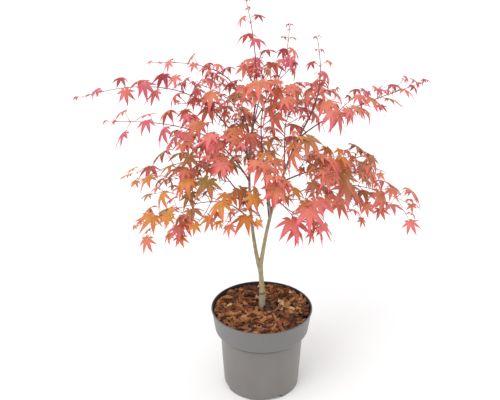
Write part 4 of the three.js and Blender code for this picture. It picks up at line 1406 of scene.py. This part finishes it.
# %% Lobes of a leaf
FULL_LOBES = ((-126, 0.36), (-84, 0.68), (-40, 0.92), (0, 1), (40, 0.92), (84, 0.68), (126, 0.36))
SMALL_LOBES = ((-100, 0.46), (-52, 0.8), (0, 1), (52, 0.8), (100, 0.46))
OUTER_ANGLE = 30
OUTER_NOTCH = 0.2
TEETH = 8
SMALL_TEETH = 5
NOTCH = 0.36
INNER_ROWS = (0.36, 0.7, 1)
WIDTHS = (
    (0, 0.12, 0.25, 0.4, 0.55, 0.7, 0.84, 0.94, 1),
    (1, 1.03, 0.98, 0.82, 0.59, 0.36, 0.18, 0.075, 0),
)
FOLD = 0.22
HANG = 1.6
YOUNG_FROM = 0.62
GROWN_CURL = 0.9
YOUNG_CURL = 0.7
CURL_SPAN = (0.75, 1.2)
SWAY_SPAN = (-0.07, 0.07)


def lobe_sides(lobes, i):
    """For both sides of a lobe: the angle to the seam, and the notch's share of the leaf."""
    bearing, reach = lobes[i]
    sides = []
    for j in (i - 1, i + 1):
        if 0 <= j < len(lobes):
            mean = (reach + lobes[j][1]) / 2
            sides.append((abs(lobes[j][0] - bearing) / 2, NOTCH * mean, mean, j))
        else:
            sides.append((OUTER_ANGLE, OUTER_NOTCH, reach, i))
    return sides


def margin(angle, notch, teeth, reach):
    """One edge of a lobe as (along, across): the seam to the notch, then teeth to the tip."""
    turn = math.radians(angle)
    seam = [(share * notch * math.cos(turn), share * notch * math.sin(turn)) for share in INNER_ROWS]
    along, across = seam[-1]
    rows = np.arange(1, 2 * teeth + 1)
    u = rows / (2 * teeth + 1)
    wide = across * np.interp(u, *WIDTHS)
    tooth = np.where(rows % 2 == 1, 1.06, 0.92)
    lean = np.where(rows % 2 == 1, 0.55, -0.1) * (reach - along) / (2 * teeth + 1)
    edge = np.stack([along + (reach - along) * u + lean, wide * tooth], axis=1)
    return np.concatenate([seam, edge, [(reach, 0)]])


def lobe_plan(lobes, i, teeth):
    """A lobe in the plane: rows of left edge, midrib and right edge, as shares of the length."""
    reach = lobes[i][1]
    left, right = lobe_sides(lobes, i)
    left_edge = margin(*left[:2], teeth, reach) * [1, -1]
    right_edge = margin(*right[:2], teeth, reach)
    rib = (left_edge + right_edge) / 2 * [1, 0]
    return np.stack([left_edge, rib, right_edge], axis=1), left, right


# %% Bend a lobe into its place
def bend_lobe(leaf, lobes, i, plan, left, right, curls, sway):
    """Rows of corners in space: each lobe turns, hangs down more towards its tip, folds at its rib."""
    length = leaf["span"] * LENGTH_OF_SPAN
    bearing, reach = lobes[i]
    rows = len(plan)
    beyond = np.clip((np.arange(rows) - len(INNER_ROWS) + 1) / (rows - len(INNER_ROWS)), 0, 1)
    across = plan[..., 1] + (sway[i] * reach * beyond ** 2)[:, None]
    flat = np.hypot(plan[..., 0], across)
    turn = math.radians(bearing) + np.arctan2(across, plan[..., 0])
    points = np.empty(plan.shape[:2] + (3,))
    for column, (_, _, mean, other) in zip((0, 1, 2), (left, (0, 0, reach, i), right)):
        span = mean + (reach - mean) * beyond
        curl = (curls[i] + curls[other]) / 2 + (curls[i] - curls[other]) / 2 * beyond
        share = flat[:, column] / span
        level = flat[:, column] * (1 - (1 - np.cos(curl)) * share)
        points[:, column, 0] = level * np.cos(turn[:, column])
        points[:, column, 1] = level * np.sin(turn[:, column])
        lift = FOLD * np.abs(plan[:, column, 1]) + 0.02 * np.sin(9 * share + 2.1 * i + column) * beyond
        points[:, column, 2] = -span * np.sin(curl) * share ** HANG + lift
    side = np.cross(leaf["normal"], leaf["forward"])
    frame_of_leaf = np.stack([leaf["forward"], side, leaf["normal"]])
    return leaf["centre"] + points * length @ frame_of_leaf


def strip_faces(rows, first):
    """Quads between rows of three corners."""
    faces = []
    for row in range(rows - 1):
        at = first + 3 * row
        faces += [(at + side, at + side + 3, at + side + 4, at + side + 1) for side in (0, 1)]
    return faces


# %% A whole leaf
FULL_FROM = 30
PLANS = {}


def plans_of(lobes, teeth):
    key = (len(lobes), teeth)
    if key not in PLANS:
        PLANS[key] = [lobe_plan(lobes, i, teeth) for i in range(len(lobes))]
    return PLANS[key]


def build_leaf(leaf, draw):
    """The blade's corners and quads, the midrib line of each lobe, and how far out each corner is."""
    full = leaf["span"] >= FULL_FROM
    lobes = FULL_LOBES if full else SMALL_LOBES
    teeth = TEETH if full else SMALL_TEETH
    curl = leaf["curl"] * (YOUNG_CURL if leaf["youth"] > YOUNG_FROM else GROWN_CURL)
    curls = [curl * draw(*CURL_SPAN) for _ in lobes]
    sway = [draw(*SWAY_SPAN) for _ in lobes]
    points, faces, ribs, out = [], [], [], []
    count = 0
    for i, (plan, left, right) in enumerate(plans_of(lobes, teeth)):
        rows = bend_lobe(leaf, lobes, i, plan, left, right, curls, sway)
        seen = np.concatenate([np.broadcast_to(leaf["centre"], (1, 3, 3)), rows])
        points.append(seen.reshape(-1, 3))
        faces += strip_faces(len(seen), count)
        count += len(points[-1])
        ribs.append(seen[:, 1])
        out.append(np.repeat(np.concatenate([[0], plan[:, 1, 0]]), 3))
    return np.concatenate(points), np.array(faces), ribs, np.concatenate(out)


print("a full leaf has", len(build_leaf(leaves[0][1], seeded(1))[1]), "faces")

# %% [markdown]
# ## Autumn tints
# The crown turns from orange, bronze and olive low down and inside to coral, rose and crimson at
# the top and on the youngest leaves, and a leaf turns redder from its middle to its tips. Each
# mass has tints for its old leaves and for its young ones, and each leaf draws one. All leaves of
# a tint are one joined mesh. A corner keeps how far out on its leaf it lies, and the material
# goes from an inner to an outer colour by that.

# %% Tints
# The inner and the outer colour, and the slot of the record
TINTS = {
    "crimson": ((208, 92, 104), (202, 66, 102), "leaves_high"),
    "rose": ((224, 122, 106), (234, 94, 120), "leaves_high"),
    "coral": ((216, 126, 86), (238, 98, 102), "leaves_middle"),
    "salmon": ((206, 138, 98), (238, 134, 130), "leaves_middle"),
    "red": ((202, 112, 68), (226, 86, 84), "leaves_middle"),
    "orange": ((214, 138, 50), (224, 104, 58), "leaves_low"),
    "bronze": ((172, 114, 62), (206, 102, 80), "leaves_low"),
    "olive": ((160, 134, 60), (214, 126, 86), "leaves_low"),
}

# The tints of a mass's old leaves and of its young ones
HUES = {
    "leader": ("coral salmon rose coral", "crimson rose"),
    "right_top": ("coral rose coral", "crimson rose"),
    "left_high": ("rose coral crimson", "crimson rose"),
    "left_upper": ("rose crimson rose", "crimson rose"),
    "left_mid": ("coral rose", "rose crimson"),
    "left_low": ("orange bronze coral olive", "coral orange rose"),
    "left_base": ("orange olive bronze coral", "coral rose orange"),
    "left_front": ("coral red salmon", "rose"),
    "front_left": ("orange bronze orange red", "coral orange"),
    "back_left": ("coral bronze", "rose"),
    "back_high": ("salmon coral rose", "rose crimson"),
    "top_right": ("rose crimson", "crimson"),
    "centre": ("red salmon coral", "coral"),
    "front_mid": ("orange red bronze", "coral"),
    "right_high": ("rose coral salmon", "crimson rose"),
    "right_front": ("bronze orange red", "coral"),
    "right_mid": ("bronze orange bronze", "coral bronze"),
    "right_low": ("bronze coral salmon", "rose coral"),
    "front_right": ("orange coral orange", "rose"),
    "back_right": ("bronze coral", "rose"),
    "back_low": ("orange bronze", "coral"),
}


def tint_of(mass, leaf, draw):
    """The tint that a leaf draws, from the young ones if it is young enough."""
    old, young = (names.split() for names in HUES[mass.name])
    names = young if leaf["youth"] + draw(-0.22, 0.22) > YOUNG_FROM else old
    return names[int(draw(0, len(names) - 1e-6))]


# %% Tubes for stalks, shoots and ribs
def tube(path, radii, sides, flat=1.0, facing=None):
    """Corners and quads of a tube along a path; a flat one is squeezed across its facing."""
    path = np.asarray(path)
    way = np.gradient(path, axis=0)
    way /= np.linalg.norm(way, axis=1)[:, None]
    side = np.cross(way[0], facing if facing is not None else UP)
    if np.linalg.norm(side) < 0.1:
        side = np.array([1.0, 0, 0])
    points = []
    angles = np.arange(sides) * 2 * math.pi / sides
    for centre, direction, radius in zip(path, way, radii):
        side = unit(side - direction * (side @ direction))
        top = np.cross(direction, side)
        ring = np.outer(np.cos(angles) * radius, side) + np.outer(np.sin(angles) * radius * flat, top)
        points.append(centre + ring)
    rings = np.arange(len(path) - 1)[:, None] * sides
    here = rings + np.arange(sides)
    after = rings + (np.arange(sides) + 1) % sides
    faces = np.stack([here, after, after + sides, here + sides], axis=-1).reshape(-1, 4)
    return np.concatenate(points), faces


# %% Gather the leaves by tint
LEAF_SEED = 40000
RIB_SPAN = 20
STALK_BOW = 0.1
STALK_RADII = (1.1, 0.62, 0.55, 0.55, 0.6, 0.75)


def stalk_path(leaf):
    """From the shoot to the middle of the blade, bowed up a little."""
    start, end = leaf["root"], leaf["centre"] - leaf["normal"] * 0.25
    reach = np.linalg.norm(end - start)
    bow = (start + end) / 2 + UP * reach * STALK_BOW
    t = np.linspace(0, 1, 6)[:, None]
    return (1 - t) ** 2 * start + 2 * t * (1 - t) * bow + t * t * end


def rib_line(rib, leaf):
    """A thin raised line along a midrib, through some of its corners."""
    kept = rib[:-2:3] if leaf["span"] >= FULL_FROM else rib[:-1:4]
    radii = np.linspace(0.42, 0.1, len(kept)) * (leaf["span"] / 60) ** 0.5
    return tube(kept, radii, 4, 0.9, leaf["normal"])


blades = {tint: Heap() for tint in TINTS}
ribs_heap = {"warm": Heap(), "red": Heap()}
stalks = Heap()
for number, (mass, leaf) in enumerate(leaves):
    draw = seeded(LEAF_SEED + number)
    tint = tint_of(mass, leaf, draw)
    node = f"foliage_{mass.name}"
    points, faces, ribs, out = build_leaf(leaf, draw)
    blades[tint].add(points, faces, node, out)
    if leaf["span"] >= RIB_SPAN:
        for rib in ribs:
            family = "red" if TINTS[tint][2] != "leaves_low" else "warm"
            ribs_heap[family].add(*rib_line(rib, leaf), node)
    radii = np.array(STALK_RADII) * (leaf["span"] / 60) ** 0.5 * 0.95
    stalks.add(*tube(stalk_path(leaf), radii, 5), node)

# %% Leaf pieces
def toned(colour, share):
    """A colour made darker, and a little more so in its green and blue."""
    return tuple(value * factor for value, factor in zip(colour, (share, share ** 1.3, share ** 1.3)))


def leaf_material(name, inner, outer):
    """A leaf's finish, from the inner colour to the outer one by the corner's way out."""
    material = varied(
        name, inner, toned(inner, 0.84),
        scale=70, contrast=0.6, roughness=0.46, bump=0.15, depth=0.2,
    )
    outside = soft_colours(material, outer, toned(outer, 0.86), scale=45, stretch=1, contrast=0.6)
    ends = {"From Min": 0.15, "From Max": 0.85}
    ramp = add_node(material.node_tree, "MapRange", ends, interpolation_type="SMOOTHSTEP")
    material.node_tree.links.new(corner_value(material, "out"), ramp.inputs["Value"])
    mixed_over(material, ramp.outputs[0], outside["Color"])
    return material


def merged(heap, name, material):
    """A heap as one piece that keeps how far out each corner lies, with shared corners merged."""
    piece = heap.piece(name, material)
    keep_values(piece, "out", np.concatenate(heap.out))
    merge_doubles(piece, 2e-6)
    return piece


def wood_like(name, light, dark):
    return varied(name, light, dark, scale=120, contrast=0.6, roughness=0.5)


for tint, heap in blades.items():
    inner, outer, slot = TINTS[tint]
    if heap.count:
        piece = merged(heap, f"leaves_{tint}", leaf_material(f"{tint} leaf", inner, outer))
        belongs(piece, slot, *sorted(heap.nodes))

warm_rib = wood_like("pale rib", (232, 176, 112), (214, 146, 88))
pink_rib = wood_like("pink rib", (240, 160, 138), (224, 126, 112))
stalk_finish = wood_like("leaf stalk", (204, 104, 96), (168, 72, 74))
belongs(merged(ribs_heap["warm"], "ribs_warm", warm_rib), "leaves_low")
belongs(merged(ribs_heap["red"], "ribs_pink", pink_rib), "leaves_high")
belongs(merged(stalks, "leaf_stalks", stalk_finish), "leaves_middle")

# %% Shoots
SHOOT_STEP = 3.0
NODE_SWELL = 0.3
NODE_LENGTH = 2.2
THINNER = 0.35
SUNK = 2
BUD = 1.6


def shoot_tube(shoot, pairs):
    """A shoot that swells at its pairs, starts inside what bears it and ends in a bud."""
    length = np.linalg.norm(shoot.end - shoot.start)
    shares = np.linspace(0, 1, max(4, int(length / SHOOT_STEP)) + 1)
    path = np.array([shoot.shown(t) for t in shares])
    places = pairs_along(pairs)
    from_pair = np.array([min(abs(t - place) for place in places) for t in shares]) * length
    swell = 1 + NODE_SWELL * np.exp(-((from_pair / NODE_LENGTH) ** 2))
    radii = np.array([shoot.radius(t) for t in shares]) * swell * (1 - THINNER * shares)
    foot = path[0] - SUNK * shoot.direction(0)
    bud = path[-1] + BUD * shoot.direction(1)
    return tube([foot, *path, bud], [radii[0], *radii, 0.15], 8)


shoots = Heap()
for mass in masses:
    for shoot in mass.shoots:
        shoots.add(*shoot_tube(shoot, mass.pairs if shoot is mass.main else 1), f"foliage_{mass.name}")
shoot_finish = varied(
    "young shoot", (166, 84, 84), (116, 54, 60),
    scale=180, stretch=0.5, contrast=0.6, roughness=0.5, bump=0.2, depth=0.2,
)
belongs(merged(shoots, "shoots", shoot_finish), "young_bark", *[f"foliage_{name}" for name in MASSES])

# %% The end
import json

bpy.context.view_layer.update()
